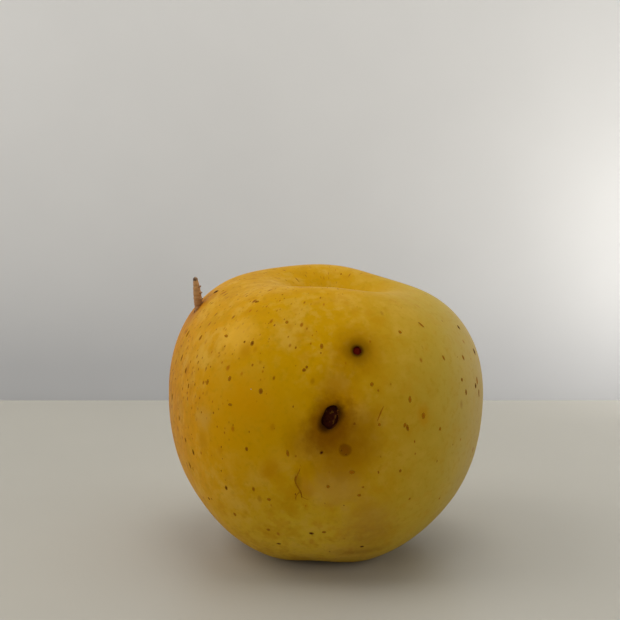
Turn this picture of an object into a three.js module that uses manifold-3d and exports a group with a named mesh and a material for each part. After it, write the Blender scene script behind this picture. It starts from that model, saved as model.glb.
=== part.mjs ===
// A ripe yellow apple, whole and uncut, that a codling moth larva has bored into.
//
// Millimetres, +Z up. The apple stands on the five crowns of its calyx end, with its stem
// cavity on top. The origin is on the table, under the middle of the apple's outline.

import * as THREE from 'three';
import Module from 'manifold-3d';

const manifold = await Module();
manifold.setup();

const DEGREE = Math.PI / 180;

// ---- Driving dimensions: the apple --------------------------------------------------------

// The waist is the widest line. Above and below it the profile is a superellipse, where a
// fullness of 2 gives an ellipse and more gives squarer shoulders.
const WAIST_RADIUS = 39;
const WAIST_HEIGHT = 37.55;
const ABOVE_WAIST = { height: 34.3, fullness: 2.26 };
const BELOW_WAIST = { height: 39.9, fullness: 2.25 };

// Both hollows are smooth wells round the core. The funnel is the narrow throat at the bottom
// of the stem cavity, where the stem grows.
const STEM_CAVITY = { depth: 14.6, radius: 10.7, steepness: 1.6 };
const STEM_FUNNEL = { depth: 3, radius: 3, steepness: 2 };
const CALYX_BASIN = { depth: 7.8, radius: 7.8, steepness: 1.8 };

// The outline from above: five ribs that fade at the waist, an oval and a rounded triangle.
// Relief is a share of the radius, and turn is the wave's phase.
const RIBS = { count: 5, relief: 0.039, turn: 69 * DEGREE };
const OVAL = { count: 2, relief: 0.033, turn: -48.5 * DEGREE };
const TRIANGLE = { count: 3, relief: 0.022, turn: 57 * DEGREE };

// The ribs end in crowns, the feet round the calyx basin. The saddle lowers the shoulder on
// two sides. Both are bands round the core, at a ring of this radius and spread.
const CROWNS = { relief: 0.4, ring: 13.7, spread: 6.8 };
const SADDLE = { count: 2, relief: 1.19, ring: 17.5, spread: 11.7, turn: 4.5 * DEGREE };

// The core leans by so much for each millimetre of height, more and more towards the top.
const LEAN = { x: 0.078, y: -0.115 };
const CORE_FOOT = { x: -0.44, y: 0.02 };

// A soft bruise has left a shallow dent low on the front.
const BRUISE = { latitude: -32.5 * DEGREE, azimuth: 294 * DEGREE, depth: 0.4, radius: 8 };

const APPLE_SIDES = 90;
const APPLE_RINGS = 46;
const END_CROWDING = 0.6;

// ---- Driving dimensions: burrows, larva, stem and calyx -------------------------------------

// A burrow's mouth is at a latitude and azimuth of the skin. It runs along its aim, and its
// long axis is the wider way across the mouth.
const BURROWS = {
  exit: {
    latitude: 7.3 * DEGREE, azimuth: 271.6 * DEGREE, aim: [-0.34, 0.9, 0.22],
    longAxis: [0.32, 0, 0.95], length: 5.2, width: 3.1, depth: 10,
  },
  entry: {
    latitude: 33.2 * DEGREE, azimuth: 280 * DEGREE, aim: [-0.1, 0.95, -0.3],
    longAxis: [0, 0.3, 0.95], length: 1.9, width: 1.8, depth: 7,
  },
  home: {
    latitude: 35.6 * DEGREE, azimuth: 179 * DEGREE, aim: [0.2, 0.05, -0.98],
    longAxis: [0.98, 0, 0.2], length: 3.2, width: 3, depth: 7.5,
  },
};
// A burrow's cutter starts this far outside the skin, with a slightly rounded outer end.
const CUTTER = { sides: 20, rings: 9, raggedness: 0.04, overshoot: 3, outerRounding: 0.75 };

// The larva rears up out of its home burrow. Its path starts at the tail, hidden in the
// burrow, and is measured from the burrow's mouth.
const LARVA_PATH = [
  [0.85, 0.2, -4.4],
  [0.45, 0.1, -2.2],
  [0.16, 0, 0],
  [0.06, -0.05, 2],
  [-0.18, -0.1, 4.2],
  [-0.5, -0.1, 6.2],
  [-0.62, -0.1, 7.75],
];
const LARVA = {
  bodyRadius: 0.97, neckRadius: 0.58, taperStart: 0.25, headRadius: 0.62, headLength: 0.95,
  headRounding: 0.71, segments: 9, grooveDepth: 0.1, sides: 12, rings: 54,
};
const LEGS = {
  shares: [0.53, 0.66, 0.79], reach: 0.55, radius: 0.3, rootRounding: 0.2, tipRounding: 0.45,
  splay: 38 * DEGREE, sides: 6, rings: 4,
};

// A short dry stub of the stem, swollen where it broke off. Its path is measured from the
// bottom of the funnel, and the swelling lies between two shares of its length.
const STEM_PATH = [
  [0, 0, 1.1],
  [0.1, -0.05, 2.4],
  [0.45, -0.25, 4.8],
  [1, -0.5, 7.2],
];
const STEM = {
  rootRadius: 0.75, waistRadius: 1.05, waistShare: 0.4, tipRadius: 1.5, swelling: [0.6, 0.95],
  tipRounding: 0.7, sides: 12, rings: 16,
};

// Five dry sepals hang from a small cup in the calyx basin, clear of the table. Their path is
// in a plane through the core, as [out, down] from the basin's deepest point.
const SEPAL_PATH = [[0.3, 1], [1.2, 1.8], [1.9, 3], [3.1, 3.9]];
const SEPALS = {
  count: 5, width: 2.1, thickness: 0.4, rootRounding: 0.2, sharpness: 0.7, sides: 8, rings: 9,
};
const CALYX_CUP = {
  radius: 1.4, top: 0.4, bottom: 2, topRounding: 0.6, bottomRounding: 0.3, sides: 15, rings: 6,
};

const FINISHES = {
  apple: { color: 0xd9a521, roughness: 0.45 },
  larva: { color: 0x8c6352, roughness: 0.5 },
  stem: { color: 0x5b4127, roughness: 0.9 },
  calyx: { color: 0x6e5a3c, roughness: 0.95 },
};

// ---- Closed skins -------------------------------------------------------------------------

// A closed mesh from pointAt(share, angle): a point at each end and rings of points between
// them. Its outside is where the angle's way crosses the share's way, by the right-hand rule.
function closedSkin(rings, sides, pointAt) {
  const points = [pointAt(0, 0)];
  for (let ring = 1; ring < rings; ring += 1) {
    for (let side = 0; side < sides; side += 1) {
      points.push(pointAt(ring / rings, (side / sides) * 2 * Math.PI));
    }
  }
  points.push(pointAt(1, 0));

  const last = points.length - 1;
  const at = (ring, side) => 1 + (ring - 1) * sides + (side % sides);
  const triangles = [];
  for (let side = 0; side < sides; side += 1) {
    triangles.push(0, at(1, side + 1), at(1, side));
    for (let ring = 1; ring < rings - 1; ring += 1) {
      triangles.push(at(ring, side), at(ring, side + 1), at(ring + 1, side + 1));
      triangles.push(at(ring, side), at(ring + 1, side + 1), at(ring + 1, side));
    }
    triangles.push(last, at(rings - 1, side), at(rings - 1, side + 1));
  }
  const geometry = new THREE.BufferGeometry().setFromPoints(points);
  geometry.setIndex(triangles);
  return geometry;
}

// The two ways across a curve at a share of its length: first made square to the curve, and
// second, square to both.
function waysAcross(curve, share, first) {
  const along = curve.getTangentAt(share);
  const second = new THREE.Vector3().crossVectors(along, first).normalize();
  return [new THREE.Vector3().crossVectors(second, along), second];
}

// A closed skin along a curve. sectionAt(share, angle) is a point's place across the curve, and
// it is [0, 0] at both ends.
function sweep(curve, first, rings, sides, sectionAt) {
  return closedSkin(rings, sides, (share, angle) => {
    const [firstWay, secondWay] = waysAcross(curve, share, first);
    const [a, b] = sectionAt(share, angle);
    return curve.getPointAt(share).addScaledVector(firstWay, a).addScaledVector(secondWay, b);
  });
}

function curveFrom(start, path) {
  const points = path.map((offset) => new THREE.Vector3(...offset).add(start));
  return new THREE.CatmullRomCurve3(points);
}

// The width of a rounded end: 0 at its tip and 1 from its reach onwards.
function rounded(distance, reach) {
  const share = Math.min(Math.max(distance / reach, 0), 1);
  return Math.sqrt(1 - (1 - share) ** 2);
}

// ---- Joining and cutting ------------------------------------------------------------------

function toSolid(geometry) {
  return new manifold.Manifold(new manifold.Mesh({
    numProp: 3,
    vertProperties: new Float32Array(geometry.attributes.position.array),
    triVerts: new Uint32Array(geometry.index.array),
  }));
}

function toGeometry(solid) {
  const mesh = solid.getMesh();
  const geometry = new THREE.BufferGeometry();
  geometry.setAttribute('position', new THREE.BufferAttribute(mesh.vertProperties, 3));
  geometry.setIndex(new THREE.BufferAttribute(mesh.triVerts, 1));
  return geometry;
}

function join(geometries) {
  return toGeometry(geometries.map(toSolid).reduce((whole, piece) => whole.add(piece)));
}

function cut(geometry, cutters) {
  return toGeometry(cutters.map(toSolid).reduce((whole, cutter) => whole.subtract(cutter),
    toSolid(geometry)));
}

// ---- The apple ----------------------------------------------------------------------------

function signedPower(value, exponent) {
  return Math.sign(value) * Math.abs(value) ** exponent;
}

function well({ depth, radius, steepness }, distance) {
  return depth * Math.exp(-((distance / radius) ** steepness));
}

function band({ relief, ring, spread }, distance) {
  return relief * Math.exp(-(((distance - ring) / spread) ** 2));
}

function wave({ count, turn }, azimuth) {
  return Math.cos(count * azimuth - turn);
}

// The skin before it is bruised and stood on the table. Latitude runs from -90 degrees at the
// middle of the calyx basin to 90 degrees at the middle of the stem cavity.
function soundSkin(latitude, azimuth) {
  const rise = Math.sin(latitude);
  const upper = rise >= 0;
  const { height, fullness } = upper ? ABOVE_WAIST : BELOW_WAIST;
  const distance = WAIST_RADIUS * Math.max(Math.cos(latitude), 0) ** (2 / fullness);
  const topShare = (1 + rise) / 2;
  const topWeight = topShare ** 2;
  const baseWeight = (1 - topShare) ** 2;

  const ribs = wave(RIBS, azimuth);
  const outline = 1 + RIBS.relief * ribs * (topWeight + baseWeight)
    + OVAL.relief * wave(OVAL, azimuth) + TRIANGLE.relief * wave(TRIANGLE, azimuth);
  const x = distance * outline * Math.cos(azimuth);
  const y = distance * outline * Math.sin(azimuth);

  let z = height * signedPower(rise, 2 / fullness);
  z += upper
    ? -well(STEM_CAVITY, distance) - well(STEM_FUNNEL, distance)
    : well(CALYX_BASIN, distance);
  z -= band(CROWNS, distance) * ribs * baseWeight;
  z -= band(SADDLE, distance) * wave(SADDLE, azimuth) * topWeight;

  return new THREE.Vector3(
    CORE_FOOT.x + x + LEAN.x * z * topShare,
    CORE_FOOT.y + y + LEAN.y * z * topShare,
    WAIST_HEIGHT + z - (LEAN.x * x + LEAN.y * y) * topShare,
  );
}

function outwards(latitude, azimuth) {
  const east = soundSkin(latitude, azimuth + DEGREE).sub(soundSkin(latitude, azimuth - DEGREE));
  const north = soundSkin(latitude + DEGREE, azimuth).sub(soundSkin(latitude - DEGREE, azimuth));
  return east.cross(north).normalize();
}

// The finished skin: dented by the bruise, with the crowns pressed flat where they touch the
// table.
function skin(latitude, azimuth) {
  const bruise = soundSkin(BRUISE.latitude, BRUISE.azimuth);
  const inwards = outwards(BRUISE.latitude, BRUISE.azimuth).negate();
  const point = soundSkin(latitude, azimuth);
  const away = point.distanceTo(bruise) / BRUISE.radius;
  point.addScaledVector(inwards, BRUISE.depth * Math.exp(-(away ** 2)));
  point.z = Math.max(point.z, 0);
  return point;
}

// The rings of points crowd towards both ends, where the hollows bend most.
function fleshGeometry() {
  return closedSkin(APPLE_RINGS, APPLE_SIDES, (share, azimuth) => {
    const even = 2 * share - 1;
    const crowded = Math.sin(even * 90 * DEGREE);
    const latitude = 90 * DEGREE * (even + (crowded - even) * END_CROWDING);
    return skin(latitude, azimuth);
  });
}

function mouthOf(burrow) {
  return skin(burrow.latitude, burrow.azimuth);
}

// A burrow is cut by an oval rod with a round inner end, which starts outside the skin.
function burrowCutter(burrow) {
  const aim = new THREE.Vector3(...burrow.aim).normalize();
  const mouth = mouthOf(burrow);
  const start = mouth.clone().addScaledVector(aim, -CUTTER.overshoot);
  const end = mouth.clone().addScaledVector(aim, burrow.depth);
  const curve = new THREE.LineCurve3(start, end);
  const total = curve.getLength();
  const longAxis = new THREE.Vector3(...burrow.longAxis);

  return sweep(curve, longAxis, CUTTER.rings, CUTTER.sides, (share, angle) => {
    const ends = rounded(share * total, CUTTER.outerRounding)
      * rounded((1 - share) * total, burrow.length / 2);
    const size = ends * (1 + CUTTER.raggedness * (Math.cos(3 * angle) + Math.sin(5 * angle)));
    return [
      (size * burrow.length * Math.cos(angle)) / 2,
      (size * burrow.width * Math.sin(angle)) / 2,
    ];
  });
}

function appleGeometry() {
  return cut(fleshGeometry(), Object.values(BURROWS).map(burrowCutter));
}

// ---- The larva ----------------------------------------------------------------------------

const BELLY = new THREE.Vector3(1, 0, 0);

// The body tapers to the neck, with a groove between its segments, and ends in a round head.
function larvaRadius(share, total) {
  const fromTail = share * total;
  const fromTip = total - fromTail;
  if (fromTip < LARVA.headLength) {
    return LARVA.headRadius * rounded(fromTip, LARVA.headRounding);
  }
  const bodyShare = fromTail / (total - LARVA.headLength);
  const taper = LARVA.bodyRadius - (LARVA.bodyRadius - LARVA.neckRadius)
    * THREE.MathUtils.smoothstep(bodyShare, LARVA.taperStart, 1);
  const swell = Math.sqrt(Math.abs(Math.sin(Math.PI * LARVA.segments * bodyShare)));
  const groove = 1 - LARVA.grooveDepth * (1 - swell);
  return taper * groove * rounded(fromTail, LARVA.bodyRadius);
}

function legGeometry(curve, total, share, side) {
  const [first, second] = waysAcross(curve, share, BELLY);
  const way = first.multiplyScalar(Math.cos(LEGS.splay))
    .addScaledVector(second, side * Math.sin(LEGS.splay));
  const root = curve.getPointAt(share);
  const length = larvaRadius(share, total) + LEGS.reach;
  const tip = root.clone().addScaledVector(way, length);
  const leg = new THREE.LineCurve3(root, tip);
  return sweep(leg, curve.getTangentAt(share), LEGS.rings, LEGS.sides, (legShare, angle) => {
    const radius = LEGS.radius * rounded(legShare, LEGS.rootRounding)
      * rounded(1 - legShare, LEGS.tipRounding);
    return [radius * Math.cos(angle), radius * Math.sin(angle)];
  });
}

function larvaGeometry() {
  const curve = curveFrom(mouthOf(BURROWS.home), LARVA_PATH);
  const total = curve.getLength();
  const { rings, sides } = LARVA;
  const body = sweep(curve, BELLY, rings, sides, (share, angle) => {
    const radius = share < 1 ? larvaRadius(share, total) : 0;
    return [radius * Math.cos(angle), radius * Math.sin(angle)];
  });
  const legs = LEGS.shares.flatMap((share) => [-1, 1].map(
    (side) => legGeometry(curve, total, share, side),
  ));
  return join([body, ...legs]);
}

// ---- The stem and the calyx ---------------------------------------------------------------

function stemGeometry() {
  const curve = curveFrom(skin(90 * DEGREE, 0), STEM_PATH);
  const total = curve.getLength();
  const { smoothstep } = THREE.MathUtils;
  return sweep(curve, new THREE.Vector3(1, 0, 0), STEM.rings, STEM.sides, (share, angle) => {
    const radius = STEM.rootRadius
      + (STEM.waistRadius - STEM.rootRadius) * smoothstep(share, 0, STEM.waistShare)
      + (STEM.tipRadius - STEM.waistRadius) * smoothstep(share, ...STEM.swelling);
    const ends = rounded(share * total, STEM.rootRadius)
      * rounded((1 - share) * total, STEM.tipRounding);
    return [radius * ends * Math.cos(angle), radius * ends * Math.sin(angle)];
  });
}

function sepalGeometry(floor, azimuth) {
  const out = new THREE.Vector3(Math.cos(azimuth), Math.sin(azimuth), 0);
  const across = new THREE.Vector3(-Math.sin(azimuth), Math.cos(azimuth), 0);
  const path = SEPAL_PATH.map(([away, down]) => out.clone().multiplyScalar(away).setZ(-down));
  const curve = curveFrom(floor, path);
  return sweep(curve, across, SEPALS.rings, SEPALS.sides, (share, angle) => {
    const taper = rounded(share, SEPALS.rootRounding) * (1 - share) ** SEPALS.sharpness;
    return [
      (taper * SEPALS.width * Math.cos(angle)) / 2,
      (taper * SEPALS.thickness * Math.sin(angle)) / 2,
    ];
  });
}

function calyxGeometry() {
  const floor = skin(-90 * DEGREE, 0);
  const cupAxis = curveFrom(floor, [[0, 0, -CALYX_CUP.top], [0, 0, -CALYX_CUP.bottom]]);
  const side = new THREE.Vector3(1, 0, 0);
  const cup = sweep(cupAxis, side, CALYX_CUP.rings, CALYX_CUP.sides, (share, angle) => {
    const radius = CALYX_CUP.radius * rounded(share, CALYX_CUP.topRounding)
      * rounded(1 - share, CALYX_CUP.bottomRounding);
    return [radius * Math.cos(angle), radius * Math.sin(angle)];
  });
  const sepals = Array.from({ length: SEPALS.count }, (_, index) => (
    sepalGeometry(floor, (index * 360 * DEGREE) / SEPALS.count + RIBS.turn)
  ));
  return join([cup, ...sepals]);
}

// ---- The model ----------------------------------------------------------------------------

function piece(name, geometry) {
  const finish = new THREE.MeshStandardMaterial({ ...FINISHES[name], metalness: 0 });
  finish.name = name;
  const mesh = new THREE.Mesh(geometry, finish);
  mesh.name = name;
  return mesh;
}

const wormyApple = new THREE.Group();
wormyApple.add(
  piece('apple', appleGeometry()),
  piece('larva', larvaGeometry()),
  piece('stem', stemGeometry()),
  piece('calyx', calyxGeometry()),
);

export default wormyApple;
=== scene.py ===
"""A worm-eaten yellow apple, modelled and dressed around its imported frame.

The skin, the burrows and the larva follow rules, which Geometry Nodes work out from named
sizes. Sizes are in millimetres unless a name says otherwise, and meshes are in metres.
"""

import logging
import math
from dataclasses import dataclass, fields
from enum import Enum
from typing import Callable, Iterable, Optional, Sequence, Union

import bpy
import numpy as np
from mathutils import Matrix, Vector


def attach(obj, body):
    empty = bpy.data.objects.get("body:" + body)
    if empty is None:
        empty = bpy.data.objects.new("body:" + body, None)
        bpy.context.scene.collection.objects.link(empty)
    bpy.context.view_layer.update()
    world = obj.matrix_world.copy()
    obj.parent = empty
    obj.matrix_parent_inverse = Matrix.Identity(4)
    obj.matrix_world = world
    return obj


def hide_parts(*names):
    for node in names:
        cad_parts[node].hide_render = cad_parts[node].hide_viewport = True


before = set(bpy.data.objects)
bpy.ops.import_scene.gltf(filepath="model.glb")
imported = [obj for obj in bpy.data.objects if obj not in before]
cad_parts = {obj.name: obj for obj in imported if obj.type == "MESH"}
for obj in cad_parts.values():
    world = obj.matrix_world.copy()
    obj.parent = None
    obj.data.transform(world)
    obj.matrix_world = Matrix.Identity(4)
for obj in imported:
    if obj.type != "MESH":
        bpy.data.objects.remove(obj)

log = logging.getLogger("worm_eaten_apple")

MM = 0.001
DEGREE = math.pi / 180
TURN = 2 * math.pi
QUARTER = math.pi / 2

# The least share that counts as more than none, and the distance within which points merge.
TINY = 1e-6
WELD = 0.001

# The shares of the way along a straight path at which its points lie.
THIRDS = (0.0, 0.33, 0.67, 1.0)

# ---- Numbers that may vary over a piece ---------------------------------------------------


class Link:
    """An output socket, with the tree that it belongs to."""

    def __init__(self, tree: "Tree", socket: bpy.types.NodeSocket) -> None:
        """Keeps the socket.

        Args:
            tree: The tree that the socket's node is in.
            socket: The output socket.
        """
        self.tree = tree
        self.socket = socket

    def also(self, output: str) -> "Field":
        """Another output of the same node."""
        return Field(self.tree, self.socket.node.outputs[output])


class Field(Link):
    """A number that varies over a piece, so that sums on it add Math nodes."""

    def math(self, operation: str, *others: "Number") -> "Field":
        """Adds one Math node.

        Args:
            operation: The Math node's operation.
            others: The node's other values.

        Returns:
            The node's result.
        """
        values = dict(enumerate((self, *others)))
        return self.tree.add("ShaderNodeMath", {"operation": operation}, values)

    def __add__(self, other: "Number") -> "Field":
        """self + other."""
        return self.math("ADD", other)

    __radd__ = __add__

    def __sub__(self, other: "Number") -> "Field":
        """self - other."""
        return self.math("SUBTRACT", other)

    def __rsub__(self, other: "Number") -> "Field":
        """other - self."""
        return self.math("MULTIPLY", -1.0).math("ADD", other)

    def __mul__(self, other: "Number") -> "Field":
        """self * other."""
        return self.math("MULTIPLY", other)

    __rmul__ = __mul__

    def __truediv__(self, other: "Number") -> "Field":
        """self / other."""
        return self.math("DIVIDE", other)

    def __rtruediv__(self, other: "Number") -> "Field":
        """other / self."""
        return self.math("POWER", -1.0).math("MULTIPLY", other)

    def __pow__(self, exponent: "Number") -> "Field":
        """self to a power, for a self that isn't negative."""
        return self.math("POWER", exponent)

    def __neg__(self) -> "Field":
        """-self."""
        return self.math("MULTIPLY", -1.0)


Number = Union[float, Field]
Point = tuple[Number, Number, Number]


def cosine(angle: Number) -> Number:
    """The cosine of an angle in radians."""
    return angle.math("COSINE") if isinstance(angle, Field) else math.cos(angle)


def sine(angle: Number) -> Number:
    """The sine of an angle in radians."""
    return angle.math("SINE") if isinstance(angle, Field) else math.sin(angle)


def exponential(value: Number) -> Number:
    """e to the power of a value."""
    return value.math("EXPONENT") if isinstance(value, Field) else math.exp(value)


def at_least(value: Number, floor: float) -> Number:
    """A value, or the floor where the value is lower."""
    return value.math("MAXIMUM", floor) if isinstance(value, Field) else max(value, floor)


def at_most(value: Number, ceiling: float) -> Number:
    """A value, or the ceiling where the value is higher."""
    return value.math("MINIMUM", ceiling) if isinstance(value, Field) else min(value, ceiling)


def is_over(value: Number, limit: float) -> Number:
    """1 where a value is over a limit, and 0 elsewhere."""
    if isinstance(value, Field):
        return value.math("GREATER_THAN", limit)
    return 1.0 if value > limit else 0.0


def blend(low: Number, high: Number, share: Number) -> Number:
    """A value between low and high, by its share of the way."""
    return low + (high - low) * share


def signed_power(value: Number, exponent: Number) -> Number:
    """A value's size to a power, with the value's own sign."""
    return at_least(value, 0.0) ** exponent - at_least(-value, 0.0) ** exponent


def squared(value: Number) -> Number:
    """A value times itself."""
    return value * value


def eased(share: Number) -> Number:
    """A share from 0 to 1 that starts and stops gently."""
    return squared(share) * (3.0 - share * 2.0)


def limited(value: Number) -> Number:
    """A value, kept between 0 and 1."""
    return at_most(at_least(value, 0.0), 1.0)


def rounded(distance: Number, reach: Number) -> Number:
    """The width of a rounded end: 0 at its tip and 1 from its reach onwards."""
    share = limited(distance / reach)
    return at_least(1.0 - (1.0 - share) ** 2.0, 0.0) ** 0.5


def both_ends(share: Number, first: float, last: float, length: float = 1.0) -> Number:
    """The width of a rod with two rounded ends.

    Args:
        share: The share of the way along the rod.
        first: How far its first end's rounding reaches.
        last: How far its last end's rounding reaches.
        length: The rod's length.

    Returns:
        The width, from 0 to 1.
    """
    return rounded(share * length, first) * rounded((1.0 - share) * length, last)


def oval(size: Number, angle: Number, length: float = 2.0,
         width: float = 2.0) -> tuple[Number, Number]:
    """A point of an oval, which is a circle with the size as its radius unless it is stretched.

    Args:
        size: How large the oval is, where 1 is all of its length and width.
        angle: The way to the point.
        length: The oval's length at a size of 1.
        width: The oval's width at a size of 1.

    Returns:
        How far the point is along the oval and across it.
    """
    return size * cosine(angle) * (length / 2), size * sine(angle) * (width / 2)


def numbers(point: Point) -> np.ndarray:
    """A point of plain numbers as an array."""
    return np.array(point, float)


def plain(vector: Iterable[float]) -> tuple[float, ...]:
    """A vector as plain numbers, as a socket takes it."""
    return tuple(float(part) for part in vector)


# ---- Node trees ---------------------------------------------------------------------------

SocketValue = Union[Link, list, float, int, str, tuple, bool, bpy.types.ID]


class Tree:
    """Adds nodes to one node tree."""

    def __init__(self, tree: bpy.types.NodeTree) -> None:
        """Keeps the tree to add to."""
        self.tree = tree

    def add(self, kind: str, settings: Optional[dict] = None,
            values: Optional[dict[Union[int, str], SocketValue]] = None,
            output: Union[int, str] = 0) -> Field:
        """Adds one node.

        Args:
            kind: The node's type.
            settings: The node's own properties, set first. The key "stops" gives the places
                and colours of a colour ramp.
            values: A value, a link or a list of links for each input, by index or identifier.
            output: The output that is wanted.

        Returns:
            That output.
        """
        node = self.tree.nodes.new(kind)
        for name, setting in (settings or {}).items():
            if name == "stops":
                self._set_stops(node.color_ramp, setting)
            else:
                setattr(node, name, setting)
        for key, value in (values or {}).items():
            socket = node.inputs[key] if isinstance(key, int) else self._input(node, key)
            if isinstance(value, (Link, list)):
                for link in value if isinstance(value, list) else [value]:
                    self.tree.links.new(link.socket, socket)
            else:
                socket.default_value = value
        return Field(self, node.outputs[output])

    @staticmethod
    def _input(node: bpy.types.Node, identifier: str) -> bpy.types.NodeSocket:
        """A node's input with an identifier."""
        return next(socket for socket in node.inputs if socket.identifier == identifier)

    @staticmethod
    def _set_stops(ramp: bpy.types.ColorRamp, stops: Sequence[tuple[float, tuple]]) -> None:
        """Puts a colour ramp's stops in place.

        Args:
            ramp: The ramp, as new, with its two stops.
            stops: Each stop's place and colour.
        """
        for _ in stops[2:]:
            ramp.elements.new(1.0)
        for element, (place, colour) in zip(ramp.elements, stops):
            element.position = place
            element.color = colour

    def point(self, x: Number, y: Number, z: Number) -> Field:
        """A vector from its three parts."""
        return self.add("ShaderNodeCombineXYZ", {}, {0: x, 1: y, 2: z})

    def parts(self, vector: Link) -> Point:
        """A vector's three parts."""
        x = self.add("ShaderNodeSeparateXYZ", {}, {0: vector})
        return x, x.also("Y"), x.also("Z")

    def scaled(self, vector: Link, scale: Number) -> Field:
        """A vector times a number."""
        values = {"Vector": vector, "Scale": scale}
        return self.add("ShaderNodeVectorMath", {"operation": "SCALE"}, values)

    def vector(self, operation: str, first: Union[Link, Sequence[float]],
               second: Union[Link, Sequence[float]], output: str = "Vector") -> Field:
        """Adds one Vector Math node.

        Args:
            operation: The node's operation.
            first: Its first vector.
            second: Its second vector.
            output: The output that is wanted.

        Returns:
            That output.
        """
        values = {index: value if isinstance(value, Link) else plain(value)
                  for index, value in enumerate((first, second))}
        return self.add("ShaderNodeVectorMath", {"operation": operation}, values, output)

    def distance(self, vector: Link, point: Sequence[float]) -> Field:
        """The distance from a vector to a point."""
        return self.vector("DISTANCE", vector, point, "Value")

    def along(self, vector: Link, way: Sequence[float]) -> Field:
        """How far a vector reaches along a way."""
        return self.vector("DOT_PRODUCT", vector, way, "Value")

    def fade(self, value: Number, start: float, end: float) -> Field:
        """A smooth fall from 1 to 0, or a rise where its end is below its start.

        Args:
            value: The value that it follows.
            start: The value at which it is 1.
            end: The value at which it is 0.

        Returns:
            The fade.
        """
        low, high = min(start, end), max(start, end)
        values = {"Value": value, "From Min": low, "From Max": high,
                  "To Min": float(start < end), "To Max": float(start > end)}
        return self.add("ShaderNodeMapRange", {"interpolation_type": "SMOOTHSTEP"}, values)

    def noise(self, vector: Link, scale: float, detail: float = 2.0,
              roughness: float = 0.5) -> Field:
        """Smooth noise round 0.5.

        Args:
            vector: The place to read it at.
            scale: The number of bumps in each unit of length.
            detail: The number of finer layers.
            roughness: How strong the finer layers are.

        Returns:
            The noise.
        """
        values = {"Vector": vector, "Scale": scale, "Detail": detail, "Roughness": roughness}
        return self.add("ShaderNodeTexNoise", {}, values)


class Domain(Enum):
    """The elements that a mesh can keep a value for."""

    POINT = "POINT"
    FACE = "FACE"
    CORNER = "CORNER"


class Kind(Enum):
    """The kinds of value that a mesh can keep."""

    NUMBER = "FLOAT"
    PAIR = "FLOAT2"
    VECTOR = "FLOAT_VECTOR"


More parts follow.
